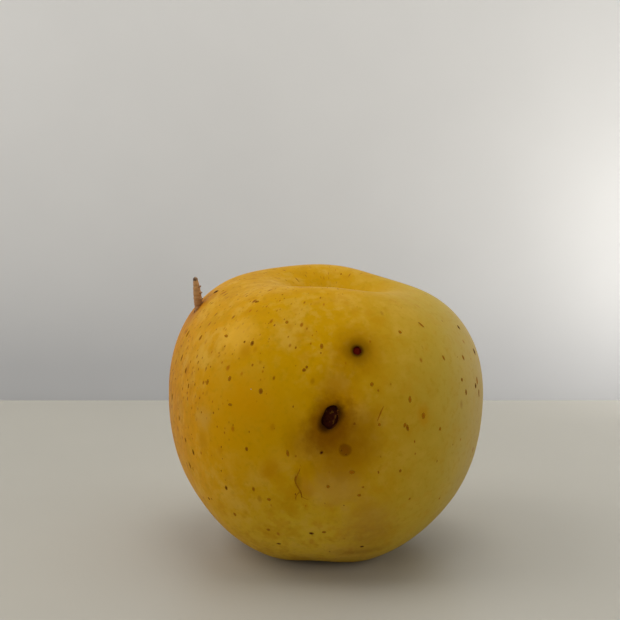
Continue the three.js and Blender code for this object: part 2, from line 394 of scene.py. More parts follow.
class PieceTree(Tree):
    """A Geometry Nodes tree with named inputs, which grows one piece."""

    bump_roughness: float = 0.6

    def __init__(self, name: str, base: Optional[bpy.types.Mesh] = None) -> None:
        """Makes an empty tree.

        Args:
            name: The tree's name.
            base: The mesh that the tree starts from, if it starts from one.
        """
        super().__init__(bpy.data.node_groups.new(name, "GeometryNodeTree"))
        self.base = base or bpy.data.meshes.new(name)
        self.sizes: dict[str, Union[float, int]] = {}
        for way in ("INPUT", "OUTPUT"):
            self.tree.interface.new_socket("Geometry", in_out=way,
                                           socket_type="NodeSocketGeometry")
        self.source = self.tree.nodes.new("NodeGroupInput")

    def start(self) -> Link:
        """The geometry of the mesh that the tree starts from."""
        return Link(self, self.source.outputs[0])

    def position(self) -> Field:
        """The place of each point, in metres."""
        return self.add("GeometryNodeInputPosition")

    def put(self, geometry: Link, place: Field) -> Field:
        """A geometry with its points at places in metres."""
        return self.add("GeometryNodeSetPosition", {}, {"Geometry": geometry, "Position": place})

    def size(self, title: str, value: Union[float, int]) -> Field:
        """Adds a named input.

        Args:
            title: The input's name.
            value: Its value: a whole number makes a whole-number input.

        Returns:
            The input's value.
        """
        kind = "NodeSocketInt" if isinstance(value, int) else "NodeSocketFloat"
        socket = self.tree.interface.new_socket(title, in_out="INPUT", socket_type=kind)
        self.sizes[socket.identifier] = value
        output = next(o for o in self.source.outputs if o.identifier == socket.identifier)
        return Field(self, output)

    def sheet(self, columns: Number, rows: Number,
              place: Callable[[Field, Field], Point]) -> Field:
        """A closed skin: a grid whose columns meet and whose end rows are points.

        Args:
            columns: The number of faces round the skin.
            rows: The number of faces from end to end.
            place: Gives the point in millimetres at a share of the way round and of the way
                from end to end.

        Returns:
            The skin, with the two shares as its UV map.
        """
        grid = self.add("GeometryNodeMeshGrid", {},
                        {"Size X": 1.0, "Size Y": 1.0,
                         "Vertices X": columns + 1, "Vertices Y": rows + 1})
        x, y, _ = self.parts(self.position())
        mapped = self.marked(grid, "UVMap", grid.also("UV Map"), Domain.CORNER, Kind.PAIR)
        share = y + 0.5
        between_ends = is_over(share * (1.0 - share), TINY)
        point = place((x + 0.5) * between_ends, share)
        skin = self.put(mapped, self.point(*(part * MM for part in point)))
        return self.add("GeometryNodeMergeByDistance", {},
                        {"Geometry": skin, "Distance": WELD * MM})

    def tube(self, path: "Path", rings: Number, sides: Number,
             section: Callable[[Number, Number], tuple[Number, Number]]) -> Field:
        """A closed skin along a path.

        Args:
            path: The path.
            rings: The number of faces along it.
            sides: The number of faces round it.
            section: Gives how far a point is each way across, at a share of the way along and
                an angle. Both are 0 at both ends.

        Returns:
            The skin.
        """
        return self.sheet(sides, rings, lambda turn, share: path.beside(
            share, *section(share, turn * TURN)))

    def raised(self, geometry: Link, height: Number) -> Field:
        """A skin moved outwards by a height in millimetres."""
        outwards = self.scaled(self.add("GeometryNodeInputNormal"), height * MM)
        return self.add("GeometryNodeSetPosition", {},
                        {"Geometry": geometry, "Offset": outwards})

    def bumps(self, scale: float, depth: float, detail: float = 2.0) -> Field:
        """Noise in millimetres, either side of 0.

        Args:
            scale: The number of bumps in each millimetre.
            depth: From the lowest to the highest, at most.
            detail: The number of finer layers.

        Returns:
            The noise.
        """
        where = self.scaled(self.position(), 1 / MM)
        return (self.noise(where, scale, detail, self.bump_roughness) - 0.5) * depth

    def chance(self, seed: int, low: float = 0.0, high: float = 1.0) -> Field:
        """A random number between two others for each point."""
        return self.add("FunctionNodeRandomValue", {"data_type": Kind.NUMBER.value},
                        {"Min_001": low, "Max_001": high, "Seed": seed}, 1)

    def realized(self, geometry: Link) -> Field:
        """A geometry with its instances as plain mesh."""
        return self.add("GeometryNodeRealizeInstances", {}, {"Geometry": geometry})

    def dressed(self, geometry: Link, finish: bpy.types.Material) -> Field:
        """A geometry in a material."""
        return self.add("GeometryNodeSetMaterial", {},
                        {"Geometry": geometry, "Material": finish})

    def marked(self, geometry: Link, name: str, value: Number, domain: Domain = Domain.FACE,
               kind: Kind = Kind.NUMBER) -> Field:
        """A geometry that keeps a value under a name."""
        return self.add("GeometryNodeStoreNamedAttribute",
                        {"data_type": kind.value, "domain": domain.value},
                        {"Geometry": geometry, "Name": name, "Value": value})

    def kept(self, name: str, kind: Kind = Kind.NUMBER) -> Field:
        """What a geometry keeps under a name."""
        return self.add("GeometryNodeInputNamedAttribute", {"data_type": kind.value},
                        {"Name": name})

    def joined(self, geometries: list[Field]) -> Field:
        """Several geometries as one."""
        return self.add("GeometryNodeJoinGeometry", {}, {0: geometries})

    def grow(self, name: str, geometry: Link, finish: bpy.types.Material,
             only: Optional[Link] = None) -> bpy.types.Object:
        """Ends the tree, sets its inputs and turns its result into a plain mesh.

        Args:
            name: The piece's name.
            geometry: The tree's last geometry.
            finish: The piece's material.
            only: Where the material goes, if it isn't everywhere.

        Returns:
            The piece, with no modifier left on it.
        """
        values = {"Geometry": self.realized(geometry), "Material": finish}
        if only is not None:
            values["Selection"] = only
        dressed = self.add("GeometryNodeSetMaterial", {}, values)
        sink = self.tree.nodes.new("NodeGroupOutput")
        self.tree.links.new(dressed.socket, sink.inputs[0])

        seed = in_scene(name + "_seed", self.base)
        modifier = seed.modifiers.new("grow", "NODES")
        modifier.node_group = self.tree
        for identifier, value in self.sizes.items():
            modifier[identifier] = value
        depsgraph = bpy.context.evaluated_depsgraph_get()
        mesh = bpy.data.meshes.new_from_object(
            seed.evaluated_get(depsgraph), preserve_all_data_layers=True, depsgraph=depsgraph)
        seed.modifiers.remove(modifier)
        bpy.data.objects.remove(seed)
        mesh.name = name
        mesh.shade_smooth()
        return in_scene(name, mesh)


def in_scene(name: str, data: bpy.types.ID) -> bpy.types.Object:
    """Puts a mesh, a lamp or a camera in the scene, at the origin.

    Args:
        name: The object's name.
        data: What the object shows.

    Returns:
        The object.
    """
    made = bpy.data.objects.new(name, data)
    bpy.context.scene.collection.objects.link(made)
    return made


# ---- The fruit's form ---------------------------------------------------------------------


@dataclass(frozen=True)
class AppleForm:
    """The sizes of the whole fruit, and the rule that its skin follows from them.

    Above and below the waist, its widest line, the profile is a superellipse. Wells at both
    ends make the stem cavity and the calyx basin, and waves round the core make its outline.
    """

    waist_radius: Number = 39.0
    waist_height: Number = 37.55
    top_height: Number = 34.3
    top_fullness: Number = 2.26
    base_height: Number = 39.9
    base_fullness: Number = 2.25
    cavity_depth: Number = 14.6
    cavity_radius: Number = 10.7
    cavity_steepness: Number = 1.6
    funnel_depth: Number = 3.0
    funnel_radius: Number = 3.0
    basin_depth: Number = 7.8
    basin_radius: Number = 7.8
    basin_steepness: Number = 1.8
    rib_count: Number = 5.0
    rib_relief: Number = 0.039
    rib_turn: Number = 69 * DEGREE
    oval_relief: Number = 0.033
    oval_turn: Number = -48.5 * DEGREE
    triangle_relief: Number = 0.022
    triangle_turn: Number = 57 * DEGREE
    crown_relief: Number = 0.4
    crown_ring: Number = 13.7
    crown_spread: Number = 6.8
    saddle_relief: Number = 1.19
    saddle_ring: Number = 17.5
    saddle_spread: Number = 11.7
    saddle_turn: Number = 4.5 * DEGREE
    lean_x: Number = 0.078
    lean_y: Number = -0.115
    foot_x: Number = -0.44
    foot_y: Number = 0.02

    def skin(self, latitude: Number, azimuth: Number) -> Point:
        """The skin before it is bruised and stood on the table.

        Args:
            latitude: From -90 degrees in the calyx basin to 90 degrees in the stem cavity,
                in radians.
            azimuth: The way round the core, in radians.

        Returns:
            The point.
        """
        rise = sine(latitude)
        upper = is_over(rise, -TINY)
        flat = 2.0 / blend(self.base_fullness, self.top_fullness, upper)
        distance = at_least(cosine(latitude), 0.0) ** flat * self.waist_radius
        top_share = (rise + 1.0) * 0.5
        top_weight = top_share ** 2.0
        base_weight = (1.0 - top_share) ** 2.0

        ribs = cosine(azimuth * self.rib_count - self.rib_turn)
        oval = cosine(azimuth * 2.0 - self.oval_turn)
        triangle = cosine(azimuth * 3.0 - self.triangle_turn)
        outline = ribs * self.rib_relief * (top_weight + base_weight) \
            + oval * self.oval_relief + triangle * self.triangle_relief + 1.0
        x = distance * outline * cosine(azimuth)
        y = distance * outline * sine(azimuth)

        cavity = exponential(-(distance / self.cavity_radius) ** self.cavity_steepness)
        funnel = exponential(-(distance / self.funnel_radius) ** 2.0)
        basin = exponential(-(distance / self.basin_radius) ** self.basin_steepness)
        top_well = cavity * self.cavity_depth + funnel * self.funnel_depth
        wells = blend(basin * self.basin_depth, -top_well, upper)
        crown = exponential(-squared((distance - self.crown_ring) / self.crown_spread))
        saddle = exponential(-squared((distance - self.saddle_ring) / self.saddle_spread))
        saddle_wave = cosine(azimuth * 2.0 - self.saddle_turn)
        z = signed_power(rise, flat) * blend(self.base_height, self.top_height, upper) + wells \
            - crown * self.crown_relief * ribs * base_weight \
            - saddle * self.saddle_relief * saddle_wave * top_weight

        return (x + z * self.lean_x * top_share + self.foot_x,
                y + z * self.lean_y * top_share + self.foot_y,
                z - (x * self.lean_x + y * self.lean_y) * top_share + self.waist_height)

    def outwards(self, latitude: float, azimuth: float) -> np.ndarray:
        """The skin's outward direction.

        Args:
            latitude: As for the skin, as a plain number.
            azimuth: The same.

        Returns:
            The direction, at a length of 1.
        """
        east = numbers(self.skin(latitude, azimuth + DEGREE)) \
            - numbers(self.skin(latitude, azimuth - DEGREE))
        north = numbers(self.skin(latitude + DEGREE, azimuth)) \
            - numbers(self.skin(latitude - DEGREE, azimuth))
        way = np.cross(east, north)
        return way / np.linalg.norm(way)


APPLE = AppleForm()


@dataclass(frozen=True)
class Spot:
    """A place on the skin, by latitude and azimuth in degrees."""

    latitude: float
    azimuth: float

    def place(self) -> np.ndarray:
        """The spot's point on the skin."""
        return numbers(APPLE.skin(self.latitude * DEGREE, self.azimuth * DEGREE))

    def outwards(self) -> np.ndarray:
        """The skin's outward direction there."""
        return APPLE.outwards(self.latitude * DEGREE, self.azimuth * DEGREE)

    def way(self, tilt: float) -> np.ndarray:
        """A way over the skin.

        Args:
            tilt: How far it turns from the way to the stem towards the east, in degrees.

        Returns:
            The way, at a length of 1.
        """
        outwards = self.outwards()
        east = np.cross((0.0, 0.0, 1.0), outwards)
        east = east / np.linalg.norm(east)
        north = np.cross(outwards, east)
        return north * math.cos(tilt * DEGREE) + east * math.sin(tilt * DEGREE)


@dataclass(frozen=True)
class Burrow:
    """A burrow: an oval bore that starts at a spot of the skin and runs along its aim."""

    spot: Spot
    aim: tuple[float, float, float]
    long_axis: tuple[float, float, float]
    length: float
    width: float
    depth: float
    overshoot: float = 3.0
    outer_rounding: float = 0.75
    lip: float = 0.05
    lip_start: float = 0.2
    lip_reach: float = 0.3
    lobes: tuple[float, float] = (3.0, 5.0)
    raggedness: float = 0.04

    def reach(self) -> float:
        """How far the bore runs, from outside the skin to its blind end."""
        return self.overshoot + self.depth

    def axes(self) -> tuple[np.ndarray, np.ndarray, np.ndarray]:
        """The ways along the bore, along its long axis and along its short axis."""
        aim = np.array(self.aim) / np.linalg.norm(self.aim)
        short = np.cross(aim, self.long_axis)
        short = short / np.linalg.norm(short)
        return aim, np.cross(short, aim), short

    def wall(self, turn: Number, share: Number) -> Point:
        """A point of the bore's wall.

        Args:
            turn: The share of the way round the wall.
            share: The share of the way from outside the skin to the bore's blind end.

        Returns:
            The point.
        """
        along = share * self.reach()
        ends = rounded(along, self.outer_rounding) \
            * rounded(self.reach() - along, self.length / 2)
        inside = at_least(along - (self.overshoot - self.lip_start), 0.0)
        flare = exponential(-(inside / self.lip_reach)) * self.lip + 1.0
        angle = turn * TURN
        few, many = self.lobes
        ragged = (cosine(angle * few) + sine(angle * many)) * self.raggedness + 1.0
        a, b = oval(ends * flare * ragged, angle, self.length, self.width)
        aims, longs, shorts = (plain(axis) for axis in self.axes())
        start = plain(self.spot.place() - self.axes()[0] * self.overshoot)
        return tuple(along * aims[i] + a * longs[i] + b * shorts[i] + start[i] for i in range(3))


EXIT = Burrow(Spot(7.3, 271.6), (-0.34, 0.9, 0.22), (0.32, 0, 0.95), 5.2, 3.1, 10)
ENTRY = Burrow(Spot(33.2, 280), (-0.1, 0.95, -0.3), (0, 0.3, 0.95), 1.9, 1.8, 7)
HOME = Burrow(Spot(35.6, 179), (0.2, 0.05, -0.98), (0.98, 0, 0.2), 2.4, 2.4, 7.5)
BURROWS = (EXIT, ENTRY, HOME)


# ---- Paths --------------------------------------------------------------------------------


def cross(a: Point, b: Point) -> Point:
    """The cross product of two vectors."""
    return a[1] * b[2] - a[2] * b[1], a[2] * b[0] - a[0] * b[2], a[0] * b[1] - a[1] * b[0]


def unit(a: Point) -> Point:
    """A vector at a length of 1."""
    length = (a[0] * a[0] + a[1] * a[1] + a[2] * a[2]) ** 0.5
    return a[0] / length, a[1] / length, a[2] / length


# The power of a smooth path's curve.
CUBIC = 3


@dataclass(frozen=True)
class Path:
    """A smooth cubic path by the points that it passes, and the side that its sections face."""

    points: tuple[tuple[float, float, float], ...]
    side: tuple[float, float, float]

    def powers(self) -> list[tuple[float, ...]]:
        """The path's coefficients, highest power first, for each of x, y and z."""
        points = np.array(self.points)
        steps = np.linalg.norm(np.diff(points, axis=0), axis=1)
        shares = np.concatenate([[0.0], np.cumsum(steps)]) / steps.sum()
        return [plain(np.polyfit(shares, points[:, i], CUBIC)) for i in range(3)]

    def length(self) -> float:
        """The path's length, by its points."""
        return float(np.linalg.norm(np.diff(np.array(self.points), axis=0), axis=1).sum())

    def at(self, share: Number) -> Point:
        """The point at a share of the way along."""
        return tuple(((share * a + b) * share + c) * share + d for a, b, c, d in self.powers())

    def along(self, share: Number) -> Point:
        """The direction at a share of the way along."""
        return unit(tuple((share * (3 * a) + 2 * b) * share + c
                          for a, b, c, _ in self.powers()))

    def ways(self, share: Number) -> tuple[Point, Point]:
        """The two ways across the path.

        Args:
            share: The share of the way along.

        Returns:
            The way across that is nearer the side, and the one square to it.
        """
        along = self.along(share)
        second = unit(cross(along, self.side))
        return cross(second, along), second

    def beside(self, share: Number, a: Number, b: Number) -> Point:
        """A point beside the path.

        Args:
            share: The share of the way along.
            a: How far it is the first way across.
            b: How far it is the second way across.

        Returns:
            The point.
        """
        first, second = self.ways(share)
        centre = self.at(share)
        return tuple(centre[i] + first[i] * a + second[i] * b for i in range(3))


def path_from(start: np.ndarray, steps: Iterable[Sequence[float]],
              side: tuple[float, float, float] = (1.0, 0.0, 0.0)) -> Path:
    """A path by its points, measured from a start."""
    return Path(tuple(plain(start + np.array(step)) for step in steps), side)


# ---- Colours and materials ----------------------------------------------------------------

Colour = tuple[float, float, float, float]

# A span is where a fade starts and ends. A grain is noise, by its bumps in each millimetre, its
# finer layers and their strength. A relief is bumps in each millimetre and their depth, and may
# add their finer layers.
Span = tuple[float, float]
Grain = tuple[float, float, float]
Relief = tuple[float, ...]


def screen(red: int, green: int, blue: int) -> Colour:
    """A colour by its screen values, from 0 to 255.

    Args:
        red: The red value.
        green: The green value.
        blue: The blue value.

    Returns:
        The colour in linear light, with no transparency.
    """
    shares = [value / 255 for value in (red, green, blue)]
    linear = [share / 12.92 if share < 0.04045 else ((share + 0.055) / 1.055) ** 2.4
              for share in shares]
    return (*linear, 1.0)


class Paint(Tree):
    """A material's node tree, round one Principled shader."""

    def __init__(self, name: str) -> None:
        """Makes a material with an empty tree.

        Args:
            name: The material's name.
        """
        self.material = bpy.data.materials.new(name)
        self.material.use_nodes = True
        super().__init__(self.material.node_tree)
        self.tree.nodes.clear()
        object_place = self.add("ShaderNodeTexCoord", output="Object")
        self.place = self.scaled(object_place, 1 / MM)

    def mix(self, share: Number, low: Union[Colour, Field], high: Union[Colour, Field]) -> Field:
        """Mixes two colours.

        Args:
            share: How much of the second colour shows.
            low: The first colour.
            high: The second colour.

        Returns:
            The mixed colour.
        """
        values = {"Factor_Float": share, "A_Color": low, "B_Color": high}
        return self.add("ShaderNodeMix", {"data_type": "RGBA"}, values, 2)

    def attribute(self, name: str) -> Field:
        """A number kept on the mesh."""
        return self.add("ShaderNodeAttribute", {"attribute_name": name}, output="Fac")

    def spots(self, vector: Link, scale: float) -> Field:
        """The distance to the nearest of many scattered points, in their own spacing."""
        values = {"Vector": vector, "Scale": scale, "Randomness": 1.0}
        return self.add("ShaderNodeTexVoronoi", {}, values)

    def finish(self, colour: Union[Colour, Field], roughness: Number,
               height: Optional[Field] = None, bump: float = 0.0,
               **constants: Union[float, Colour, tuple]) -> bpy.types.Material:
        """Ends the tree.

        Args:
            colour: The base colour.
            roughness: The roughness.
            height: The height of the finest relief, from 0 to 1.
            bump: That relief's depth in millimetres.
            **constants: Other inputs of the shader, by name with _ for a space.

        Returns:
            The material.
        """
        values: dict[str, SocketValue] = {
            name.replace("_", " "): value for name, value in constants.items()}
        values["Base Color"] = colour
        values["Roughness"] = roughness
        if height is not None:
            values["Normal"] = self.add(
                "ShaderNodeBump", {}, {"Strength": 1.0, "Distance": bump * MM, "Height": height})
        shader = self.add("ShaderNodeBsdfPrincipled", {}, values)
        sink = self.tree.nodes.new("ShaderNodeOutputMaterial")
        self.tree.links.new(shader.socket, sink.inputs["Surface"])
        return self.material


@dataclass(frozen=True)
class Layer:
    """A colour laid over another where a value fades over a span."""

    colour: Colour
    span: Span
    strength: float = 1.0

    def lay(self, paint: Paint, value: Number, under: Union[Colour, Field],
            presence: Number = 1.0) -> Field:
        """Lays the colour over another.

        Args:
            paint: The material.
            value: The value that decides where the colour shows.
            under: The colour below it.
            presence: How much of it each point may have.

        Returns:
            Both colours together.
        """
        share = paint.fade(value, *self.span) * presence * self.strength
        return paint.mix(share, under, self.colour)


@dataclass(frozen=True)
class Stain:
    """A soft-edged patch of another colour on the skin."""

    spot: Spot
    colour: Colour
    radius: float
    core: float = 0.0
    strength: float = 1.0
    stretch: float = 1.0
    tilt: float = 0.0
    raggedness: float = 0.25

    def share(self, paint: Paint, wobble: Field) -> Field:
        """How strongly the stain shows at each point.

        Args:
            paint: The skin's material.
            wobble: Noise round 0 that makes the stain's edge uneven.

        Returns:
            The share of the stain's colour.
        """
        place = self.spot.place()
        away = paint.vector("ADD", paint.place, -place)
        along = paint.along(away, self.spot.way(self.tilt))
        whole = paint.distance(paint.place, place)
        drawn_in = squared(along) * (1.0 - 1.0 / self.stretch ** 2)
        distance = at_least(squared(whole) - drawn_in, 0.0) ** 0.5
        ragged = distance + wobble * (self.raggedness * self.radius)
        return paint.fade(ragged, self.core, self.radius) * self.strength


BLUSH = screen(160, 82, 26)
ROT = screen(124, 72, 0)
DEEP_ROT = screen(52, 24, 2)
OLIVE = screen(112, 76, 0)
CORK = screen(140, 84, 12)
SCAR_HEART = screen(128, 66, 6)
BRUISED = screen(176, 132, 56)
BRUISE_CORE = screen(146, 98, 34)
AMBER = screen(190, 132, 0)
DEEP_YELLOW = screen(206, 144, 0)
# A painted highlight, laid on as a stain on the upper left shoulder.
PAINTED_HIGHLIGHT = screen(232, 178, 60)
FADED = screen(196, 152, 66)
HALO = screen(150, 98, 0)
RING = screen(96, 44, 2)

# Each has its spot, colour and radius, then its core, strength, stretch, tilt and raggedness.
STAINS = (
    # A painted highlight on the upper left shoulder.
    Stain(Spot(34.0, 231.0), PAINTED_HIGHLIGHT, 8.0, 1.0, 0.6, 0.8, 0.0, 0.7),
    Stain(Spot(11.0, 242.0), DEEP_YELLOW, 10.0, 1.0, 0.7, 0.8, 0.0, 0.8),
    Stain(Spot(13.5, 274.5), DEEP_YELLOW, 6.5, 1.0, 0.6, 1.0, 0.0, 0.6),
    Stain(Spot(19.2, 273.0), HALO, 7.0, 0.5, 0.4, 1.0, 0.0, 0.5),
    Stain(Spot(0.0, 262.0), HALO, 6.0, 0.5, 0.4, 1.0, 0.0, 0.5),
    Stain(Spot(4.0, 281.0), HALO, 7.5, 0.5, 0.44, 1.2, 0.0, 0.5),
    Stain(Spot(-9.2, 252.0), AMBER, 3.4, 0.3, 0.8, 1.2, 10.0, 0.9),
    Stain(Spot(-14.0, 264.5), AMBER, 2.6, 0.3, 0.6, 1.6, 0.0, 0.9),
    Stain(Spot(-4.5, 224.5), AMBER, 2.6, 0.3, 0.8, 1.5, 0.0, 0.9),
    Stain(Spot(8.0, 302.5), AMBER, 2.2, 0.3, 0.6, 1.6, 0.0, 0.9),
    Stain(Spot(28.5, 238.0), AMBER, 2.2, 0.2, 0.8, 1.3, 0.0, 0.9),
    Stain(Spot(1.2, 225.0), FADED, 4.5, 0.5, 0.5, 1.0, 0.0, 0.9),
    Stain(Spot(-14.0, 274.0), FADED, 9.0, 2.0, 0.5, 0.7, 0.0, 0.6),
    Stain(Spot(-1.5, 275.0), HALO, 11.0, 2.0, 0.7),
    Stain(Spot(5.0, 271.0), ROT, 6.8, 2.2, 0.84, 1.3, 25.0, 0.5),
    Stain(EXIT.spot, DEEP_ROT, 3.0, 1.2, 0.95, 1.6, 30.0, 0.18),
    Stain(Spot(5.9, 270.1), DEEP_ROT, 2.2, 0.8, 0.85, 1.5, 30.0, 0.2),
    Stain(ENTRY.spot, HALO, 8.5, 1.0, 0.6),
    Stain(ENTRY.spot, OLIVE, 4.2, 0.6, 0.8),
    Stain(ENTRY.spot, DEEP_ROT, 1.8, 0.8, 0.9, 1.0, 0.0, 0.1),
    Stain(Spot(-1.7, 276.5), RING, 1.7, 1.2, 0.5, 1.0, 0.0, 0.16),
    Stain(Spot(-1.7, 276.5), SCAR_HEART, 1.3, 0.7, 0.4, 1.0, 0.0, 0.16),
    Stain(Spot(-27.0, 286.0), BRUISED, 9.0, 1.0, 0.42, 1.0, 0.0, 0.7),
    Stain(Spot(-38.5, 289.0), BRUISE_CORE, 8.5, 0.5, 0.36, 1.4, 75.0, 0.8),
    Stain(Spot(-47.2, 288.5), ROT, 2.6, 0.2, 0.36, 4.0, 86.0, 0.5),
    Stain(Spot(-11.5, 261.3), ROT, 1.3, 0.1, 0.4, 2.6, 0.0, 0.6),
    Stain(HOME.spot, BLUSH, 6.5, 0.5, 0.6, 1.6, 20.0, 0.6),
    Stain(HOME.spot, CORK, 2.4, 1.4, 0.8, 1.0, 0.0, 0.1),
)


@dataclass(frozen=True)
class Freckles:
    """One size of soft brown freckle, scattered over the skin.

    Spacing and radii are in millimetres. Presence is the share of places that have one, on
    the shaded side and on the sunny side.
    """

    spacing: float
    smallest: float
    largest: float
    presence: Span
    strength: float
    core: float = 0.3

    def lay(self, paint: Paint, skin: Field, sunny: Field, colour: Field,
            tones: tuple[Colour, Colour]) -> Field:
        """Lays the freckles over a colour.

        Args:
            paint: The skin's material.
            skin: The place on the skin, drawn in along the meridians.
            sunny: How sunny the place is, from 0 to 1.
            colour: The colour under them.
            tones: Their lightest and darkest colours.

        Returns:
            The colour with the freckles on it.
        """
        near = paint.spots(skin, 1.0 / self.spacing)
        chance, tone, size = paint.parts(near.also("Color"))
        radius = blend(self.smallest, self.largest, size ** 2.0)
        shown = is_over(blend(*self.presence, sunny) - chance, 0.0)
        away = near * self.spacing
        share = paint.fade(away / radius, self.core, 1.0) * shown * self.strength
        return paint.mix(share, colour, paint.mix(tone, *tones))


FRECKLES = (
    Freckles(0.9, 0.2, 0.4, (0.02, 0.42), 0.85),
    Freckles(1.8, 0.4, 0.8, (0.02, 0.4), 0.8),
    Freckles(3.8, 0.8, 1.6, (0.1, 0.26), 0.35),
)


# The sunny side's edge moves across by this much for each millimetre that the fruit rises.
SUN_SLOPE = 0.7


@dataclass(frozen=True)
class SkinFinish:
    """Ripe yellow skin: warmer on one side, mottled, streaked and stained by the burrows, with
    painted bounce light low down, painted sheen and a painted highlight.
    """

    ripe: Colour = screen(200, 148, 0)
    # Greener towards the bottom, which is the skin's own colour, and lightened there as painted
    # bounce light from the table.
    low: Layer = Layer(screen(205, 171, 42), (4.0, 34.0))
    # Painted bounce light: the lowest part of the skin is lightened as if lit from the table.
    foot: Layer = Layer(screen(226, 184, 50), (2.0, 20.0), 0.7)
    sunny: Layer = Layer(screen(208, 143, 2), (-40.0, -8.0))
    # The greener side away from the sun. Its raised blue is painted pale sheen.
    shaded: Layer = Layer(screen(184, 156, 52), (32.0, 0.0))
    # Painted sheen: a pale greyish reflection painted along the fruit's right edge.
    shaded_edge: Layer = Layer(screen(188, 162, 96), (42.0, 23.0))
    drift_scale: float = 0.05
    drift_reach: float = 26.0
    shaded_drift: float = 0.25

    blotches: Grain = (0.11, 4.0, 0.62)
    # Pale blotches: the skin's own mottling, and also painted sheen.
    pale: Layer = Layer(screen(212, 168, 66), (0.66, 0.48), 0.5)
    deep: Layer = Layer(screen(190, 140, 0), (0.34, 0.5), 0.6)
    patches: Grain = (0.3, 3.0, 0.6)
    amber: Layer = Layer(AMBER, (0.68, 0.5), 0.45)
    # Fainter pale patches, which are also partly painted sheen.
    faint: Layer = Layer(screen(212, 168, 66), (0.34, 0.48), 0.3)
    grain: Grain = (0.8, 3.0, 0.6)
    green: Layer = Layer(screen(172, 132, 0), (0.72, 0.5), 0.3)
    blotched_span: Span = (-5.0, 34.0)
    least_blotched: float = 0.2
    even_place: Spot = Spot(6.0, 246.0)
    even_span: Span = (7.0, 22.0)
    evenness: float = 0.8

    flush: Colour = screen(196, 116, 14)
    flush_strength: float = 0.25
    flush_span: Span = (-41.0, -27.0)
    flush_drift: float = 0.5
    flush_height: Span = (44.0, 20.0)
    least_flushed: float = 0.4
    streak: Layer = Layer(screen(150, 78, 8), (0.66, 0.46), 0.8)
    streaks: Grain = (1.1, 4.0, 0.7)
    streak_stretch: Span = (50.0, 12.0)
    streak_blotching: float = 0.5

    freckle_tones: tuple[Colour, Colour] = (screen(178, 102, 4), screen(128, 58, 4))
    freckle_stretch: Span = (38.0, 27.0)
    freckled_span: Span = (-64.0, -36.0)
    stain_wobble: Grain = (0.5, 3.0, 0.6)
    russet: Colour = screen(122, 92, 38)
    russet_start: float = 2.0
    russet_reach: tuple[float, float] = (15.0, 10.0)
    russet_strength: float = 0.75
    rays: Grain = (1.0, 3.0, 0.5)
    ray_count: float = 9.0
    ray_reach: float = 14.0

    roughness: Span = (0.42, 0.52)
    peel_relief: float = 0.02
    specular: float = 0.05
    sheen: Colour = (1.0, 0.75, 0.2, 1.0)
    core_radius_squared: float = 0.01

    def material(self) -> bpy.types.Material:
        """Makes the material."""
        paint = Paint("apple_skin")
        place = paint.place
        x, y, z = paint.parts(place)
        high = at_least(z - APPLE.waist_height, 0.0)
        from_core_x = x - high * APPLE.lean_x - APPLE.foot_x
        from_core_y = y - high * APPLE.lean_y - APPLE.foot_y
        radial = (squared(from_core_x) + squared(from_core_y) + self.core_radius_squared) ** 0.5
        east, north = from_core_x / radial, from_core_y / radial
        latitude = (z - APPLE.waist_height).math("ARCTAN2", radial)

        drift = (paint.noise(place, self.drift_scale) - 0.5) * self.drift_reach
        # The low and foot layers hold painted bounce light; the green side and its edge hold
        # painted sheen.
        colour = self.low.lay(paint, z + drift, self.ripe)
        colour = self.foot.lay(paint, z, colour)
        colour = self.sunny.lay(paint, x + drift, colour)
        colour = self.shaded.lay(paint, x + drift * self.shaded_drift, colour)
        colour = self.shaded_edge.lay(paint, x, colour)

        blotch = paint.noise(place, *self.blotches)
        even = paint.fade(paint.distance(place, self.even_place.place()), *self.even_span)
        blotched = blend(self.least_blotched, 1.0, paint.fade(x, *self.blotched_span)) \
            * (1.0 - even * self.evenness)
        for layer in (self.pale, self.deep):
            colour = layer.lay(paint, blotch, colour, blotched)
        patch = paint.noise(place, *self.patches)
        for layer in (self.amber, self.faint):
            colour = layer.lay(paint, patch, colour, blotched)
        grain = paint.noise(place, *self.grain)
        colour = self.green.lay(paint, grain, colour)

        around, upwards = self.streak_stretch
        streaked = paint.point(east * around, north * around, latitude * upwards)
        streaks = paint.noise(streaked, *self.streaks) + (blotch - 0.5) * self.streak_blotching
        flushed = paint.fade(x + drift * self.flush_drift, *self.flush_span) \
            * blend(self.least_flushed, 1.0, paint.fade(z, *self.flush_height))
        colour = paint.mix(flushed * self.flush_strength, colour, self.flush)
        colour = self.streak.lay(paint, streaks, colour, flushed)

        around, upwards = self.freckle_stretch
        skin = paint.point(east * around, north * around, latitude * upwards)
        sunny = paint.fade(x - z * SUN_SLOPE, *self.freckled_span)
        for freckles in FRECKLES:
            colour = freckles.lay(paint, skin, sunny, colour, self.freckle_tones)

        wobble = paint.noise(place, *self.stain_wobble) - 0.5
        for stain in STAINS:
            colour = paint.mix(stain.share(paint, wobble), colour, stain.colour)

        spread = paint.point(east * self.ray_count, north * self.ray_count, 0.0)
        rays = paint.noise(spread, *self.rays) - 0.5
        for end, reach in zip((QUARTER, -QUARTER), self.russet_reach):
            away = paint.distance(place, APPLE.skin(end, 0.0)) + rays * self.ray_reach
            russet = Layer(self.russet, (self.russet_start, reach), self.russet_strength)
            colour = russet.lay(paint, away, colour)

        return paint.finish(colour, blend(*self.roughness, grain), grain, self.peel_relief,
                            Specular_IOR_Level=self.specular, Specular_Tint=self.sheen)


